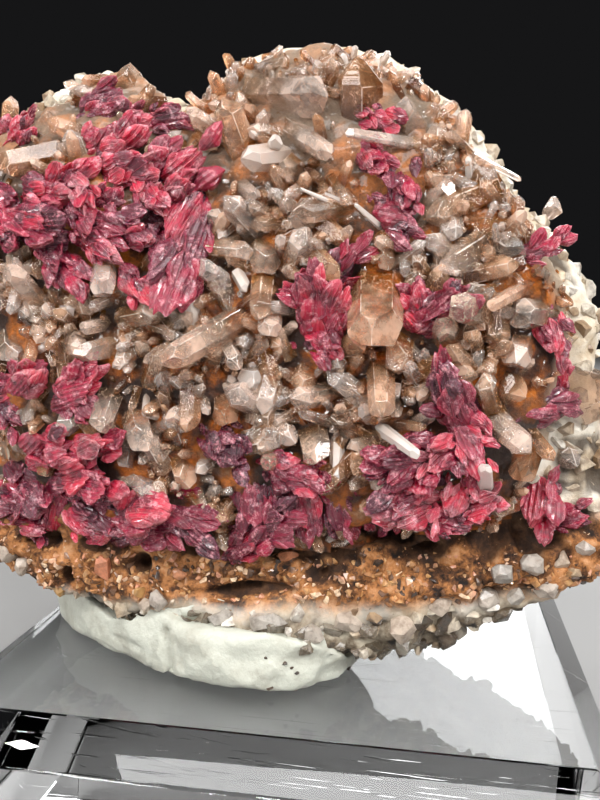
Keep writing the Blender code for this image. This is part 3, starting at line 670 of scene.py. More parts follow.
def ranged(made, value, least, most, start=0.0, end=1.0):
    """The value, stretched from least..most to start..end and kept between them."""
    node = add_node(made, "ShaderNodeMapRange")
    for name, number in (("From Min", least), ("From Max", most), ("To Min", start), ("To Max", end)):
        node.inputs[name].default_value = number
    link(made, value, node.inputs["Value"])
    return node.outputs["Result"]


def counted(made, operation, first, second):
    """A sum, product or the like of two values."""
    node = add_node(made, "ShaderNodeMath", operation=operation)
    for socket, value in zip(node.inputs, (first, second)):
        if isinstance(value, float):
            socket.default_value = value
        else:
            link(made, value, socket)
    return node.outputs[0]


def quartz_material(name):
    """See-through quartz with frosted parts, thin fractures and edge flats paled as painted highlight, its
    root stained by iron.
    """
    made, shader = plain_material(name, (0.9, 0.85, 0.8), 0.05)
    shader.inputs["IOR"].default_value = 1.545
    root = ramp(made, value_of(made, "hue"), [
        (0.10, (0.26, 0.085, 0.018)), (0.35, (0.72, 0.27, 0.035)), (0.60, (0.74, 0.42, 0.20)),
        (0.85, (0.82, 0.62, 0.46))])
    tip = ramp(made, value_of(made, "hue"), [
        (0.10, (0.78, 0.42, 0.20)), (0.35, (1.0, 0.68, 0.46)), (0.60, (1.0, 0.79, 0.63)),
        (0.85, (1.0, 0.91, 0.84))])
    uneven = ranged(made, noise_value(made, 2.0 * MM, 3.0), 0.0, 1.0, -0.5, 0.5)
    ripe = counted(made, "ADD", value_of(made, "ripe"), uneven)
    tinted = mixed(made, ranged(made, ripe, -0.05, 0.55), root, tip)
    frost = ranged(made, noise_value(made, 3.0 * MM, 5.0, 0.6), 0.42, 0.62, 0.07, 0.58)
    frost = counted(made, "MULTIPLY", frost, ranged(made, ripe, 0.1, 0.7, 0.35, 1.0))
    wave = counted(made, "SUBTRACT", noise_value(made, 1.7 * MM, 3.0, 0.65), 0.5)
    wave = counted(made, "ABSOLUTE", wave, 0.0)
    fracture = ranged(made, wave, 0.0, 0.018, 0.75, 0.0)
    fracture = counted(made, "MULTIPLY", fracture, ranged(made, noise_value(made, 5.0 * MM, 2.0), 0.45, 0.55))
    # Crystals of hue 0.93 and up turn milky white: partly the quartz's own milkiness, partly painted glints.
    white = ranged(made, value_of(made, "hue"), 0.93, 1.0)
    frost = counted(made, "MAXIMUM", frost, counted(made, "MULTIPLY", white, 0.7))
    veil = counted(made, "MAXIMUM", frost, fracture)
    # Painted highlight: the edge flats marked "rim" turn pale and less clear in patches, standing for the
    # light they catch.
    painted_edge_glint = ranged(made, noise_value(made, 1.5 * MM, 3.0), 0.42, 0.60, 0.02, 0.65)
    rim = counted(made, "MULTIPLY", value_of(made, "rim"), painted_edge_glint)
    veil_and_edge_glint = counted(made, "MAXIMUM", veil, rim)
    milky_and_edge_glint = mixed(made, white, (0.90, 0.59, 0.43), (0.96, 0.90, 0.84))
    milky_and_edge_glint = mixed(made, value_of(made, "rim"), milky_and_edge_glint, (1.0, 0.88, 0.79))
    link(made, mixed(made, veil_and_edge_glint, tinted, milky_and_edge_glint), shader.inputs["Base Color"])
    link(made, ranged(made, veil_and_edge_glint, 0.0, 1.0, 0.93, 0.25), shader.inputs["Transmission Weight"])
    worn = ranged(made, noise_value(made, 2.2 * MM, 4.0), 0.52, 0.68, 0.0, 0.08)
    link(made, worn, shader.inputs["Roughness"])
    lines = counted(made, "MULTIPLY", value_of(made, "along"), 1.0 / (0.5 * MM))
    waves = add_node(made, "ShaderNodeTexNoise", Detail=3.0, Scale=1.6)
    waves.noise_dimensions = "1D"
    link(made, lines, waves.inputs["W"])
    bumped(made, shader, waves.outputs["Fac"], 0.02 * MM, 0.5)
    body = add_node(made, "ShaderNodeVolumeAbsorption", Color=(0.90, 0.62, 0.42, 1.0), Density=110.0)
    link(made, body.outputs["Volume"], made.node_tree.nodes["Material Output"].inputs["Volume"])
    return made


clear_quartz = quartz_material("clear_quartz")

dice = random.Random(11)
crystals = []
taken = []
for root_x, root_y, tip_x, tip_y, width_px, out, hue in QUARTZ:
    root = face_at(root_x, root_y, -QUARTZ_ROOT)
    tip = face_at(tip_x, tip_y, out * MM, beside=root)
    width = width_px * pixel_size(tip)
    length = (tip - root).length
    crystal = quartz_crystal(width, length, dice)
    finished_crystal(crystal, length, QUARTZ_EDGE, hue)
    crystals.append((crystal, frame_along(root, tip, dice.uniform(0.0, 1.0))))
    taken.append((root, tip, 0.55 * width))
root = seen_at(*RIGHT_CRYSTAL["root"], RIGHT_CRYSTAL["y"])
tip = seen_at(*RIGHT_CRYSTAL["tip"], RIGHT_CRYSTAL["y"])
crystal = quartz_crystal(RIGHT_CRYSTAL["width"], (tip - root).length, dice)
finished_crystal(crystal, (tip - root).length, QUARTZ_EDGE, 0.85)
crystals.append((crystal, frame_along(root, tip, 0.3)))
large_mesh = joined(crystals, "large_quartz")
large = new_piece("large_quartz_crystals", large_mesh)
large_mesh.materials.append(clear_quartz)
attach(large, "root")
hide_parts("quartz_crust")


# Rhodochrosite clusters.
# Raspberry to crimson manganese carbonate in lens-shaped blades, each a book of thin curved plates. The
# plates thin to pale pink edges, and the blades of a cluster fan out of one root.
# Each blade: where its root and its tip show, its width in pixels, and how far the tip stands out in mm.
CLUSTERS = {
    "left_tip": [(6, 143, 34, 116, 15, 1.0), (14, 146, 34, 128, 12, 1.0)],
    "left_lobe": [(82, 114, 122, 88, 15, 2.5), (92, 118, 126, 100, 13, 2.0)],
    "upper_left": [
        (98, 143, 150, 122, 18, 2.0), (146, 124, 194, 118, 18, 2.0), (102, 162, 150, 130, 15, 3.0),
        (96, 178, 132, 158, 34, 2.5), (54, 190, 94, 164, 16, 2.0), (116, 184, 158, 160, 20, 2.5),
        (156, 190, 208, 150, 36, 3.0), (140, 182, 158, 212, 17, 3.0), (158, 206, 184, 181, 14, 3.5),
        (76, 180, 94, 208, 16, 2.5), (98, 206, 124, 190, 18, 2.5),
    ],
    "left_rim": [
        (-4, 206, 56, 234, 18, 3.0), (-4, 220, 18, 238, 16, 2.5), (24, 190, 64, 196, 24, 1.5),
        (72, 204, 86, 238, 15, 3.0), (40, 232, 58, 270, 18, 2.5), (58, 252, 86, 296, 20, 2.5),
    ],
    "left_fall": [
        (88, 216, 130, 232, 28, 2.0), (122, 236, 150, 240, 18, 2.5), (146, 224, 170, 260, 20, 2.5),
        (80, 232, 118, 260, 20, 2.0), (122, 262, 145, 304, 14, 2.5), (200, 202, 180, 300, 22, 3.0),
    ],
    "mid_left": [(2, 396, 40, 370, 18, 2.0), (4, 398, 22, 432, 16, 2.0)],
    "mid_left_wing": [(58, 394, 112, 366, 20, 2.5), (68, 392, 96, 418, 22, 2.0)],
    "left_above_foot": [
        (36, 452, 74, 442, 22, 2.0), (70, 452, 110, 440, 22, 2.5), (62, 478, 110, 480, 36, 3.0),
    ],
    "foot_left": [
        (-10, 500, 36, 522, 40, 3.0), (-6, 520, 30, 500, 30, 2.5), (20, 472, 44, 504, 20, 2.5),
        (30, 508, 38, 536, 16, 3.0), (60, 496, 54, 534, 22, 3.0), (70, 504, 92, 534, 26, 3.0),
        (84, 504, 112, 528, 28, 3.5),
    ],
    "foot_left_end": [
        (106, 528, 170, 508, 32, 3.5), (120, 512, 168, 530, 24, 2.5), (156, 504, 212, 538, 26, 3.0),
    ],
    "burgundy": [(208, 434, 240, 462, 30, 2.5), (220, 428, 232, 468, 28, 2.0)],
    "foot_middle": [
        (266, 466, 316, 474, 26, 2.5), (252, 480, 258, 530, 30, 3.0), (278, 482, 282, 534, 20, 2.5),
        (244, 530, 292, 524, 20, 3.5), (300, 488, 312, 536, 24, 3.0), (308, 480, 332, 486, 22, 2.5),
        (330, 492, 344, 536, 24, 2.5), (350, 504, 364, 528, 22, 2.5), (222, 562, 264, 532, 18, 3.0),
    ],
    "top_middle": [(366, 112, 392, 126, 18, 1.0), (362, 150, 386, 174, 22, 2.0)],
    "top_ovoid": [(403, 171, 405, 210, 25, 2.5)],
    "upper_middle": [(368, 206, 420, 228, 24, 1.5)],
    "dark_blade": [(332, 282, 362, 240, 16, 1.5)],
    "centre_fan": [
        (316, 334, 300, 280, 22, 3.0), (318, 336, 322, 276, 22, 3.5), (322, 338, 338, 280, 18, 3.0),
        (312, 304, 280, 288, 10, 2.5), (304, 330, 336, 352, 22, 2.0),
    ],
    "centre_wings": [(422, 324, 412, 282, 20, 2.0), (418, 322, 464, 284, 22, 2.5)],
    "right_purple": [(520, 258, 562, 240, 16, 1.0)],
    "right_edge": [(546, 314, 556, 358, 24, 1.5)],
    "right_wing": [(556, 394, 564, 366, 15, 2.0), (524, 416, 574, 404, 22, 2.5)],
    "right_blade": [
        (474, 428, 432, 366, 28, 3.5), (458, 414, 482, 466, 28, 3.0), (446, 420, 486, 440, 20, 2.0),
    ],
    "right_mass": [
        (456, 440, 422, 470, 28, 3.0), (430, 448, 376, 462, 26, 3.5), (420, 452, 378, 496, 34, 3.5),
        (430, 464, 412, 500, 34, 3.0),
    ],
    "foot_right": [
        (440, 500, 374, 520, 26, 3.5), (430, 512, 462, 526, 26, 3.5), (462, 480, 446, 520, 30, 2.5),
        (466, 484, 478, 524, 26, 3.0), (462, 512, 500, 504, 24, 3.0), (400, 506, 384, 528, 18, 3.0),
    ],
    "right_ovoid": [(540, 474, 532, 526, 32, 2.5)],
    "foot_far_right": [(552, 522, 590, 516, 16, 1.5)],
}
RIB_WIDE = 0.55 * MM
LARGE_ROWS = 11
SMALL_ROWS = 7
BLADE_DEEP = 0.42
SMALL_BLADES = 18
HEART_HUE = 0.1
BLADE_ROOM = 0.9 * MM
BLADE_ROOT = 0.4 * MM


def blade_skin(length, width, deep, rows, dice):
    """A lens-shaped blade from z 0 to its length, its two faces fluted by low ribs of unequal length."""
    ribs = max(2, round(width / RIB_WIDE / 2))
    lean = dice.uniform(-0.3, 0.3)
    blunt = dice.uniform(1.4, 2.6)
    columns = []
    for number in range(4 * ribs + 1):
        u = number / ribs / 2 - 1
        high = dice.uniform(1.0, 1.15) if number % 2 else dice.uniform(0.70, 0.90)
        reach = (1 - 0.88 * abs(u + lean * (1 - u * u)) ** blunt) * dice.uniform(0.74, 1.0)
        columns.append((u, high, reach, dice.uniform(-0.05, 0.05)))
    bend = dice.uniform(-0.12, 0.12) * length
    points, edge, across = [], [], []
    for side in (1, -1):
        for u, high, reach, shift in columns:
            for row in range(rows):
                s = math.sin(math.pi / 2 * (2 * row / (rows - 1) - 1))
                rise = max(1 - s * s, 0) ** 0.6 * max(1 - abs(u) ** 2.4, 0) ** 0.5
                rise *= dice.uniform(0.88, 1.1)
                points.append((width / 2 * u, side * deep / 2 * high * rise + bend * s * s,
                               length / 2 * (1 + s * reach) + shift * length * (1 - s * s)))
                edge.append(max(abs(s) ** 10, abs(u) ** 12))
                across.append(u * width / 2)
    faces = []
    for side in range(2):
        for column in range(len(columns) - 1):
            for row in range(rows - 1):
                a = (side * len(columns) + column) * rows + row
                faces.append((a, a + 1, a + rows + 1, a + rows))
    return points, faces, edge, across


class Heap:
    """Points, faces and values of many blades, gathered for one mesh."""

    def __init__(self):
        self.points, self.faces = [], []
        self.values = {"edge": [], "across": [], "hue": []}

    def add_blade(self, start, end, width, deep, turn, hue, rows, dice):
        axes = frame_along(start, end, turn)
        points, faces, edge, across = blade_skin((end - start).length, width, deep, rows, dice)
        first = len(self.points)
        offset = dice.random()
        self.points += [axes @ Vector(p) for p in points]
        self.faces += [tuple(first + i for i in face) for face in faces]
        self.values["edge"] += edge
        self.values["across"] += [offset + value for value in across]
        self.values["hue"] += [hue] * len(points)

    def mesh(self, name):
        made = bpy.data.meshes.new(name)
        made.from_pydata(self.points, [], self.faces)
        for name, values in self.values.items():
            set_values(made, name, values)
        bm = bmesh.new()
        bm.from_mesh(made)
        bmesh.ops.remove_doubles(bm, verts=bm.verts, dist=0.002 * MM)
        bmesh.ops.recalc_face_normals(bm, faces=bm.faces)
        bm.to_mesh(made)
        bm.free()
        return made


pink, shader = plain_material("rhodochrosite", (0.6, 0.05, 0.12), 0.26)
heart = ramp(pink, value_of(pink, "hue"), [
    (0.05, (0.04, 0.001, 0.009)), (0.30, (0.15, 0.001, 0.020)), (0.55, (0.36, 0.002, 0.036)),
    (0.75, (0.58, 0.005, 0.038)), (0.95, (0.52, 0.05, 0.085))])
thin = ramp(pink, value_of(pink, "hue"), [
    (0.05, (0.13, 0.014, 0.04)), (0.40, (0.40, 0.045, 0.08)), (0.70, (0.60, 0.14, 0.17)),
    (0.95, (0.66, 0.36, 0.36))])
fine = add_node(pink, "ShaderNodeTexNoise", Scale=1.0 / (0.13 * MM), Detail=4.0)
fine.noise_dimensions = "1D"
link(pink, value_of(pink, "across"), fine.inputs["W"])
rib_line = ramp(pink, fine.outputs["Fac"], [(0.50, (0.0,) * 3), (0.72, (0.5,) * 3)])
# Painted highlight: pale pink specks in patches over the blades stand for their sparkle.
painted_sparkle = ramp(pink, noise_value(pink, 1.1 * MM, 9.0, 0.8), [(0.52, (0.0,) * 3), (0.66, (0.9,) * 3)])
shade = ramp(pink, noise_value(pink, 2.4 * MM, 4.0), [(0.40, (0.8,) * 3), (0.56, (0.0,) * 3)])
colour = mixed(pink, shade, heart, (0.07, 0.003, 0.014))
colour = mixed(pink, ranged(pink, value_of(pink, "edge"), 0.0, 1.0, 0.0, 0.6), colour, thin)
colour = mixed(pink, rib_line, colour, thin)
colour = mixed(pink, painted_sparkle, colour, (0.86, 0.36, 0.41))
link(pink, colour, shader.inputs["Base Color"])
shader.inputs["Subsurface Weight"].default_value = 0.3
shader.inputs["Subsurface Radius"].default_value = (0.0012, 0.0001, 0.0002)
shader.inputs["Subsurface Scale"].default_value = 1.0
shader.inputs["IOR"].default_value = 1.7
shader.inputs["Coat Weight"].default_value = 0.3
shader.inputs["Coat Roughness"].default_value = 0.08
height = counted(pink, "ADD", fine.outputs["Fac"], noise_value(pink, 0.45 * MM, 5.0, 0.7))
bumped(pink, shader, height, 0.20 * MM)

# How red a cluster is, from nearly black at 0 to pale at 1, where it isn't the usual.
USUAL_HUE = 0.5
HUES = {"burgundy": 0.02, "dark_blade": 0.10, "right_purple": 0.75, "centre_fan": 0.6}
for seed, (name, blades) in enumerate(CLUSTERS.items()):
    dice = random.Random(seed)
    heap = Heap()
    usual = HUES.get(name, USUAL_HUE)
    for end_x, end_y, far_x, far_y, width_px, out in blades:
        near = face_at(end_x, end_y, -BLADE_ROOT)
        far = face_at(far_x, far_y, out * MM, beside=near)
        width = width_px * pixel_size(far)
        taken.append((near, far, 0.5 * width + BLADE_ROOM))
        hue = usual + dice.uniform(-0.25, 0.3)
        heap.add_blade(near, far, width, BLADE_DEEP * width, dice.uniform(-0.5, 0.5), hue,
                       LARGE_ROWS, dice)
        way = far - near
        sink = Vector((0, 0.35 * width, 0))
        heap.add_blade(near - way * 0.15 + sink, near + way * 0.75 + sink, 1.5 * width, 0.6 * width, 0.0,
                       HEART_HUE, LARGE_ROWS, dice)
        for _ in range(SMALL_BLADES):
            base = near.lerp(far, dice.uniform(-0.2, 0.6))
            base += Vector((dice.uniform(-1, 1), dice.uniform(-0.2, 0.1), dice.uniform(-1, 1))) * width * 0.6
            way = (far - near) * dice.uniform(0.3, 0.7)
            way.rotate(Matrix.Rotation(dice.gauss(0.0, 0.28), 3, EYE - near))
            small_wide = way.length * dice.uniform(0.35, 0.65)
            heap.add_blade(base, base + way, small_wide, small_wide * dice.uniform(0.3, 0.6),
                           dice.uniform(-0.8, 0.8), hue + dice.uniform(-0.35, 0.25), SMALL_ROWS, dice)
    mesh = heap.mesh("blades_" + name)
    cluster = new_piece("blades_" + name, mesh)
    mesh.materials.append(pink)
    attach(cluster, "root")
    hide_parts("rhodochrosite_" + name)


# Small quartz crystals.
# Between the large ones the bed bristles with hundreds of small clear crystals, which stand out of it at
# every slant. They are set by one scattering tree, which the grains of the rock use too.
def math_node(nodes, operation, second=None):
    node = nodes.new("ShaderNodeMath")
    node.operation = operation
    if second is not None:
        node.inputs[1].default_value = second
    return node


def socket_of(sockets, kind, name=None):
    """The first socket of that kind, and of that name if one is given."""
    return [s for s in sockets if s.type == kind and name in (None, s.name)][0]


def scatter_tree():
    """Sets copies of the prototypes over a surface, thickest where its value "cover" is 1."""
    tree = bpy.data.node_groups.new("scatter", "GeometryNodeTree")
    face = tree.interface
    face.new_socket("Geometry", in_out="INPUT", socket_type="NodeSocketGeometry")
    face.new_socket("Prototypes", in_out="INPUT", socket_type="NodeSocketCollection")
    face.new_socket("Material", in_out="INPUT", socket_type="NodeSocketMaterial")
    for title in ("Spacing", "Least Size", "Most Size", "Tilt", "Lift"):
        face.new_socket(title, in_out="INPUT", socket_type="NodeSocketFloat")
    face.new_socket("Seed", in_out="INPUT", socket_type="NodeSocketInt")
    face.new_socket("Geometry", in_out="OUTPUT", socket_type="NodeSocketGeometry")
    nodes, wire = tree.nodes, tree.links.new
    given = nodes.new("NodeGroupInput")
    result = nodes.new("NodeGroupOutput")

    cover_value = nodes.new("GeometryNodeInputNamedAttribute")
    cover_value.data_type = "FLOAT"
    cover_value.inputs["Name"].default_value = "cover"
    spread = nodes.new("GeometryNodeDistributePointsOnFaces")
    spread.distribute_method = "POISSON"
    crowd = math_node(nodes, "POWER", -2.0)
    wire(given.outputs["Spacing"], crowd.inputs[0])
    more = math_node(nodes, "MULTIPLY", 2.0)
    wire(crowd.outputs[0], more.inputs[0])
    wire(given.outputs["Geometry"], spread.inputs["Mesh"])
    wire(given.outputs["Spacing"], spread.inputs["Distance Min"])
    wire(more.outputs[0], spread.inputs["Density Max"])
    wire(cover_value.outputs["Attribute"], spread.inputs["Density Factor"])
    wire(given.outputs["Seed"], spread.inputs["Seed"])

    lean = nodes.new("FunctionNodeRandomValue")
    lean.data_type = "FLOAT_VECTOR"
    low = nodes.new("ShaderNodeCombineXYZ")
    high = nodes.new("ShaderNodeCombineXYZ")
    minus = math_node(nodes, "MULTIPLY", -1.0)
    wire(given.outputs["Tilt"], minus.inputs[0])
    for corner, source, turn in ((low, minus.outputs[0], -math.pi), (high, given.outputs["Tilt"], math.pi)):
        wire(source, corner.inputs["X"])
        wire(source, corner.inputs["Y"])
        corner.inputs["Z"].default_value = turn
    wire(low.outputs[0], lean.inputs["Min"])
    wire(high.outputs[0], lean.inputs["Max"])
    wire(given.outputs["Seed"], lean.inputs["Seed"])
    turned = nodes.new("FunctionNodeRotateRotation")
    turned.rotation_space = "LOCAL"
    wire(spread.outputs["Rotation"], turned.inputs["Rotation"])
    wire(lean.outputs[0], turned.inputs["Rotate By"])

    size = nodes.new("FunctionNodeRandomValue")
    size.data_type = "FLOAT"
    wire(given.outputs["Least Size"], socket_of(size.inputs, "VALUE", "Min"))
    wire(given.outputs["Most Size"], socket_of(size.inputs, "VALUE", "Max"))
    wire(given.outputs["Seed"], size.inputs["Seed"])
    kinds = nodes.new("GeometryNodeCollectionInfo")
    kinds.inputs["Separate Children"].default_value = True
    kinds.inputs["Reset Children"].default_value = True
    wire(given.outputs["Prototypes"], kinds.inputs["Collection"])
    sunk = nodes.new("GeometryNodeSetPosition")
    shift = nodes.new("ShaderNodeVectorMath")
    shift.operation = "SCALE"
    wire(spread.outputs["Normal"], shift.inputs[0])
    wire(given.outputs["Lift"], shift.inputs["Scale"])
    wire(spread.outputs["Points"], sunk.inputs["Geometry"])
    wire(shift.outputs[0], sunk.inputs["Offset"])
    place = nodes.new("GeometryNodeInstanceOnPoints")
    place.inputs["Pick Instance"].default_value = True
    wire(sunk.outputs["Geometry"], place.inputs["Points"])
    wire(kinds.outputs["Instances"], place.inputs["Instance"])
    wire(turned.outputs["Rotation"], place.inputs["Rotation"])
    shrink = math_node(nodes, "MULTIPLY")
    wire(socket_of(size.outputs, "VALUE"), shrink.inputs[0])
    wire(cover_value.outputs["Attribute"], shrink.inputs[1])
    wire(shrink.outputs[0], place.inputs["Scale"])
    pick = nodes.new("FunctionNodeRandomValue")
    pick.data_type = "INT"
    socket_of(pick.inputs, "INT", "Max").default_value = 99
    wire(socket_of(pick.outputs, "INT"), place.inputs["Instance Index"])
    wire(given.outputs["Seed"], pick.inputs["Seed"])

    tone = nodes.new("FunctionNodeRandomValue")
    tone.data_type = "FLOAT"
    keep = nodes.new("GeometryNodeStoreNamedAttribute")
    keep.data_type = "FLOAT"
    keep.domain = "INSTANCE"
    keep.inputs["Name"].default_value = "hue"
    wire(place.outputs["Instances"], keep.inputs["Geometry"])
    wire(socket_of(tone.outputs, "VALUE"), socket_of(keep.inputs, "VALUE", "Value"))
    real = nodes.new("GeometryNodeRealizeInstances")
    paint = nodes.new("GeometryNodeSetMaterial")
    wire(keep.outputs["Geometry"], real.inputs["Geometry"])
    wire(real.outputs["Geometry"], paint.inputs["Geometry"])
    wire(given.outputs["Material"], paint.inputs["Material"])
    wire(paint.outputs["Geometry"], result.inputs["Geometry"])
    return tree


scatter = scatter_tree()


def scattered(name, surface, prototypes, material, **inputs):
    """A plain mesh object of the prototypes set over the surface."""
    carrier = new_piece("carrier", surface)
    kinds = bpy.data.collections.new("prototypes")
    bpy.context.scene.collection.children.link(kinds)
    for number, shape in enumerate(prototypes):
        kinds.objects.link(bpy.data.objects.new(f"kind_{number:02d}", shape))
    step = carrier.modifiers.new("scatter", "NODES")
    step.node_group = scatter
    values = {"Prototypes": kinds, "Material": material, **inputs}
    for item in scatter.interface.items_tree:
        if item.item_type == "SOCKET" and item.in_out == "INPUT" and item.name in values:
            step[item.identifier] = values[item.name]
    made = bpy.data.meshes.new_from_object(carrier.evaluated_get(bpy.context.evaluated_depsgraph_get()))
    for kind in list(kinds.objects):
        bpy.data.objects.remove(kind)
    bpy.data.collections.remove(kinds)
    bpy.data.objects.remove(carrier)
    if not made.materials:
        made.materials.append(material)
    return new_piece(name, made)


ROOT_SHARE = 0.35


def crystal_kinds(count, seed, lengths, edge):
    """Crystals of width 1, rooted a little below zero."""
    dice = random.Random(seed)
    kinds = []
    for _ in range(count):
        length = dice.uniform(*lengths)
        bm = quartz_crystal(1.0, length, dice)
        broken_edges(bm, edge)
        with_values(bm, length, ROOT_SHARE)
        bmesh.ops.translate(bm, vec=(0, 0, -ROOT_SHARE * length), verts=bm.verts)
        kinds.append(mesh_of(bm, "crystal"))
    return kinds


# The crystals stand almost to the edge of the bed, but for some bare patches.
bed_points, _ = points_of(bed_mesh)
bed_cover = np.clip(np.array([under_crust(p) for p in bed_points]) * 2.2, 0, 1)
bed_cover *= np.clip([2.0 + 4.0 * noise.noise(Vector(p) / (5.5 * MM)) for p in bed_points], 0, 1)


def near_line(points, start, end, reach):
    """Which of the points lie within reach of the line from start to end."""
    start, way = np.array(start), np.array(end - start)
    share = np.clip((points - start) @ way / (way @ way), 0, 1)
    return np.linalg.norm(points - start - share[:, None] * way, axis=1) < reach


for start, end, reach in taken:
    bed_cover[near_line(bed_points, start, end, reach)] = 0


def bed_with_cover(values):
    ground = bed_mesh.copy()
    set_values(ground, "cover", values)
    return ground


# Longer crystals keep further from the sides of the box.
ground = bed_with_cover(bed_cover * room(bed_points, 12 * MM))
medium = scattered("medium_quartz_crystals", ground, crystal_kinds(11, 3, (1.5, 3.0), 0.03),
                   clear_quartz, **{"Spacing": 1.8 * MM, "Least Size": 1.2 * MM, "Most Size": 3.5 * MM,
                                    "Tilt": 1.4, "Lift": 0.1 * MM, "Seed": 4})
ground = bed_with_cover(bed_cover * room(bed_points, 5 * MM))
small = scattered("small_quartz_crystals", ground, crystal_kinds(7, 8, (1.6, 3.0), 0.035),
                  clear_quartz, **{"Spacing": 1.02 * MM, "Least Size": 0.8 * MM, "Most Size": 2.0 * MM,
                                   "Tilt": 1.2, "Lift": 0.1 * MM, "Seed": 9})
for piece in (medium, small):
    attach(piece, "root")


# Grains of the rock.
# The bare rock is a crumbly mosaic of grains: cream over the rim, sides and back, rusty and glittering in the
# earthy band, and greyish, half see-through quartz along the foot.
GRAIN_CORNERS = 13
LUMP_CORNERS = 22


def angular_stone(corners, flat, dice):
    """A stone about 1 across, with flat faces between its corners."""
    bm = bmesh.new()
    for _ in range(corners):
        way = Vector((dice.gauss(0, 1), dice.gauss(0, 1), dice.gauss(0, 1))).normalized()
        bm.verts.new(Vector((way.x, way.y, way.z * flat)) * 0.5 * dice.uniform(0.85, 1.1))
    bmesh.ops.convex_hull(bm, input=bm.verts)
    bmesh.ops.delete(bm, geom=[v for v in bm.verts if not v.link_faces], context="VERTS")
    return bm


def grain_kinds(count, seed, flat):
    dice = random.Random(seed)
    return [mesh_of(angular_stone(GRAIN_CORNERS, flat, dice), "grain") for _ in range(count)]


def grain_material(name, tones, roughness, clear):
    made, shader = plain_material(name, tones[0], roughness)
    steps = [(index / (len(tones) - 1), tone) for index, tone in enumerate(tones)]
    patch = ranged(made, noise_value(made, 7 * MM, 3.0), 0.35, 0.65, -0.35, 0.35)
    tone = ramp(made, counted(made, "ADD", value_of(made, "hue"), patch), steps)
    fleck = ramp(made, noise_value(made, 0.8 * MM, 4.0), [(0.35, (0.35,) * 3), (0.60, (1.0,) * 3)])
    link(made, mixed(made, fleck, (0.10, 0.05, 0.025), tone), shader.inputs["Base Color"])
    shader.inputs["Transmission Weight"].default_value = clear
    shader.inputs["Coat Weight"].default_value = 0.5
    shader.inputs["Coat Roughness"].default_value = 0.15
    bumped(made, shader, noise_value(made, 0.3 * MM, 3.0), 0.06 * MM)
    return made


bare = np.clip((1 - cover) * 1.5 - 0.15, 0, 1) * room(smooth_rock, 2.0 * MM)
GRAINS = {
    "pale_grains": {
        "where": bare * (1 - earth), "spacing": 1.7 * MM, "size": (1.3 * MM, 3.0 * MM), "roughness": 0.5,
        "clear": 0.15, "tones": [(0.34, 0.22, 0.12), (0.55, 0.44, 0.31), (0.62, 0.54, 0.42),
                                 (0.66, 0.61, 0.53)]},
    "earthy_granules": {
        "where": bare * earth * (1 - cavity) * (1 - 0.5 * shadowed_band_top), "spacing": 0.55 * MM,
        "size": (0.5 * MM, 1.5 * MM), "roughness": 0.45,
        "clear": 0.0, "tones": [(0.010, 0.005, 0.003), (0.15, 0.060, 0.020), (0.44, 0.19, 0.062),
                                (0.56, 0.31, 0.12), (0.58, 0.24, 0.14), (0.70, 0.50, 0.32)]},
    "foot_grains": {
        "where": bare * pale_foot * front, "spacing": 1.5 * MM, "size": (1.4 * MM, 3.2 * MM),
        "roughness": 0.25, "clear": 0.5, "tones": [(0.07, 0.055, 0.04), (0.21, 0.165, 0.11),
                                                   (0.30, 0.25, 0.185), (0.42, 0.375, 0.30)]},
}
for seed, (name, kind) in enumerate(GRAINS.items()):
    ground = rock_mesh.copy()
    set_values(ground, "cover", kind["where"])
    stone = grain_material(name, kind["tones"], kind["roughness"], kind["clear"])
    grains = scattered(name, ground, grain_kinds(8, seed, 0.8), stone,
                       **{"Spacing": kind["spacing"], "Least Size": kind["size"][0],
                          "Most Size": kind["size"][1], "Tilt": 1.5, "Lift": -0.25 * MM, "Seed": seed + 20})
    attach(grains, "root")


# Lumps in the band.
# A few larger pieces stand out of the crumbly rock: salmon and yellow-brown clots of it along the band, and
# blocky whitish quartz at its right end and along the foot.
# Each: where it shows, its width and its height in pixels, and its hue, from salmon at 0 to white at 1.
LUMPS = [
    (104, 566, 24, 32, 0.05), (221, 540, 27, 27, 0.38), (158, 600, 18, 20, 0.90), (146, 604, 14, 14, 0.70),
    (503, 573, 26, 24, 0.97), (531, 565, 26, 22, 0.92), (488, 600, 22, 28, 0.86), (545, 588, 26, 22, 0.84),
    (515, 596, 20, 18, 0.97), (350, 622, 34, 26, 0.80), (400, 628, 30, 30, 0.70), (268, 622, 40, 22, 0.95),
    (222, 618, 34, 18, 0.96), (310, 634, 30, 20, 0.88), (440, 604, 26, 24, 0.72), (180, 574, 16, 14, 0.12),
    (140, 592, 14, 12, 0.30), (290, 556, 24, 14, 0.08), (60, 590, 16, 14, 0.32), (8, 552, 18, 24, 0.80),
    (22, 566, 16, 20, 0.72), (560, 560, 20, 18, 0.60), (586, 548, 18, 16, 0.90), (575, 572, 14, 12, 0.50),
]
clot, shader = plain_material("clots", (0.5, 0.3, 0.2), 0.45)
clot_colour = ramp(clot, value_of(clot, "hue"), [
    (0.05, (0.55, 0.20, 0.10)), (0.35, (0.34, 0.20, 0.055)), (0.60, (0.42, 0.33, 0.25)),
    (0.80, (0.58, 0.48, 0.39)), (1.00, (0.74, 0.69, 0.62))])
mottle = ranged(clot, noise_value(clot, 1.0 * MM, 6.0, 0.7), 0.36, 0.56, 0.55, 0.0)
link(clot, mixed(clot, mottle, clot_colour, (0.12, 0.06, 0.03)), shader.inputs["Base Color"])
link(clot, ranged(clot, value_of(clot, "hue"), 0.6, 1.0, 0.0, 0.6), shader.inputs["Transmission Weight"])
shader.inputs["Coat Weight"].default_value = 0.4
shader.inputs["Coat Roughness"].default_value = 0.15
bumped(clot, shader, noise_value(clot, 0.4 * MM, 5.0, 0.7), 0.15 * MM)
rock_tree = ray_tree(rock_mesh)
dice = random.Random(31)
parts = []
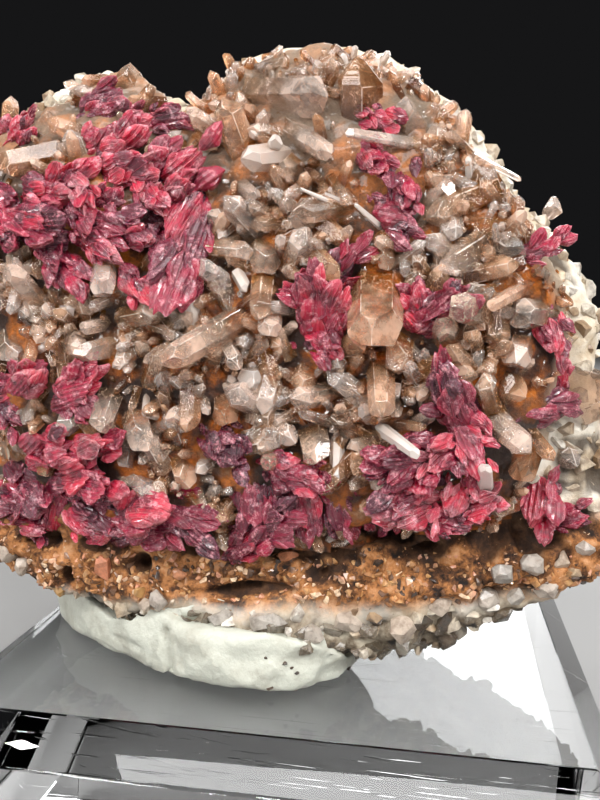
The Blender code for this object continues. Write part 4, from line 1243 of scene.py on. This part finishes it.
for across, down, wide, tall, hue in LUMPS:
    way = sight(across, down).normalized()
    hit = rock_tree.ray_cast(EYE, way)[0]
    if hit is None:
        continue
    lump = angular_stone(LUMP_CORNERS, 1.0, dice)
    hues = lump.verts.layers.float.new("hue")
    for vert in lump.verts:
        vert[hues] = hue
    size = pixel_size(hit)
    shape = Matrix.Diagonal((wide * size, min(wide, tall) * size, tall * size, 1))
    parts.append((lump, Matrix.Translation(hit) @ Matrix.Rotation(EYE_YAW, 4, "Z") @ shape))
lump_mesh = joined(parts, "lumps")
lumps = new_piece("band_lumps", lump_mesh)
lump_mesh.materials.append(clot)
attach(lumps, "root")


# Putty pad.
# White putty, pinched under the stone by hand. A roll of it curls round the left end, a fold and a wrinkled
# crease run down its front, and it has picked up specks of the earthy band.
# Each crease: where its two ends show, its width in pixels and its depth in millimetres.
PUTTY_CREASES = [
    ((186, 608), (312, 618), 15.0, 2.4),
    ((58, 626), (100, 648), 3.0, 0.45), ((85, 642), (165, 681), 3.5, 0.6), ((163, 632), (170, 684), 3.0, 0.8),
    ((172, 640), (182, 672), 2.0, 0.35), ((154, 640), (150, 668), 2.0, 0.3),
    ((180, 655), (300, 662), 9.0, 0.25),
    ((330, 662), (318, 692), 5.0, 0.35), ((110, 636), (140, 650), 2.0, 0.25),
]
PUTTY_SPECKS = [(265, 658), (285, 663), (297, 673), (292, 668), (270, 688), (348, 668), (120, 655)]
PUTTY_CELL = 0.4 * MM

putty_mesh = remeshed(copy_of_node("mounting_putty"), PUTTY_CELL)
putty_places, putty_normals = points_of(putty_mesh)
shown = seen_from_eye(putty_places)
push = np.array([0.25 * rough_at(p, 4 * MM, 6.0) + 0.07 * rough_at(p, 1.2 * MM, 3.0)
                 for p in putty_places]) - 0.15
facing = np.clip(-putty_normals[:, 1] * 2, 0, 1)
for start, end, wide, deep in PUTTY_CREASES:
    start, way = np.array(start), np.array(end) - np.array(start)
    share = np.clip((shown - start) @ way / (way @ way), 0, 1)
    off = np.linalg.norm(shown - start - share[:, None] * way, axis=1) / wide
    push -= deep * facing * np.exp(-off ** 2)
set_points(putty_mesh, putty_places + putty_normals * (push * MM)[:, None])
putty_mesh.shade_smooth()
white, shader = plain_material("white_putty", (0.47, 0.475, 0.41), 0.5)
dust = ramp(white, noise_value(white, 4 * MM, 6.0, 0.7), [
    (0.30, (0.34, 0.325, 0.265)), (0.55, (0.47, 0.475, 0.405))])
link(white, dust, shader.inputs["Base Color"])
shader.inputs["Subsurface Weight"].default_value = 0.1
shader.inputs["Subsurface Radius"].default_value = (0.0015, 0.0012, 0.001)
bumped(white, shader, noise_value(white, 0.9 * MM, 5.0), 0.2 * MM)
putty = new_piece("putty_pad", putty_mesh)
putty_mesh.materials.append(white)
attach(putty, "root")
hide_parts("mounting_putty")

putty_tree = ray_tree(putty_mesh)
dice = random.Random(5)
specks = bmesh.new()
for across, down in PUTTY_SPECKS:
    hit = putty_tree.ray_cast(EYE, sight(across, down).normalized())[0]
    if hit:
        shape = grain_kinds(1, dice.randint(0, 99), 0.6)[0]
        shape.transform(Matrix.Translation(hit) @ Matrix.Scale(dice.uniform(0.5, 1.0) * MM, 4))
        specks.from_mesh(shape)
speck_mesh = mesh_of(specks, "specks")
speck = new_piece("earth_specks", speck_mesh)
speck_mesh.materials.append(bpy.data.materials["earthy_granules"])
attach(speck, "root")
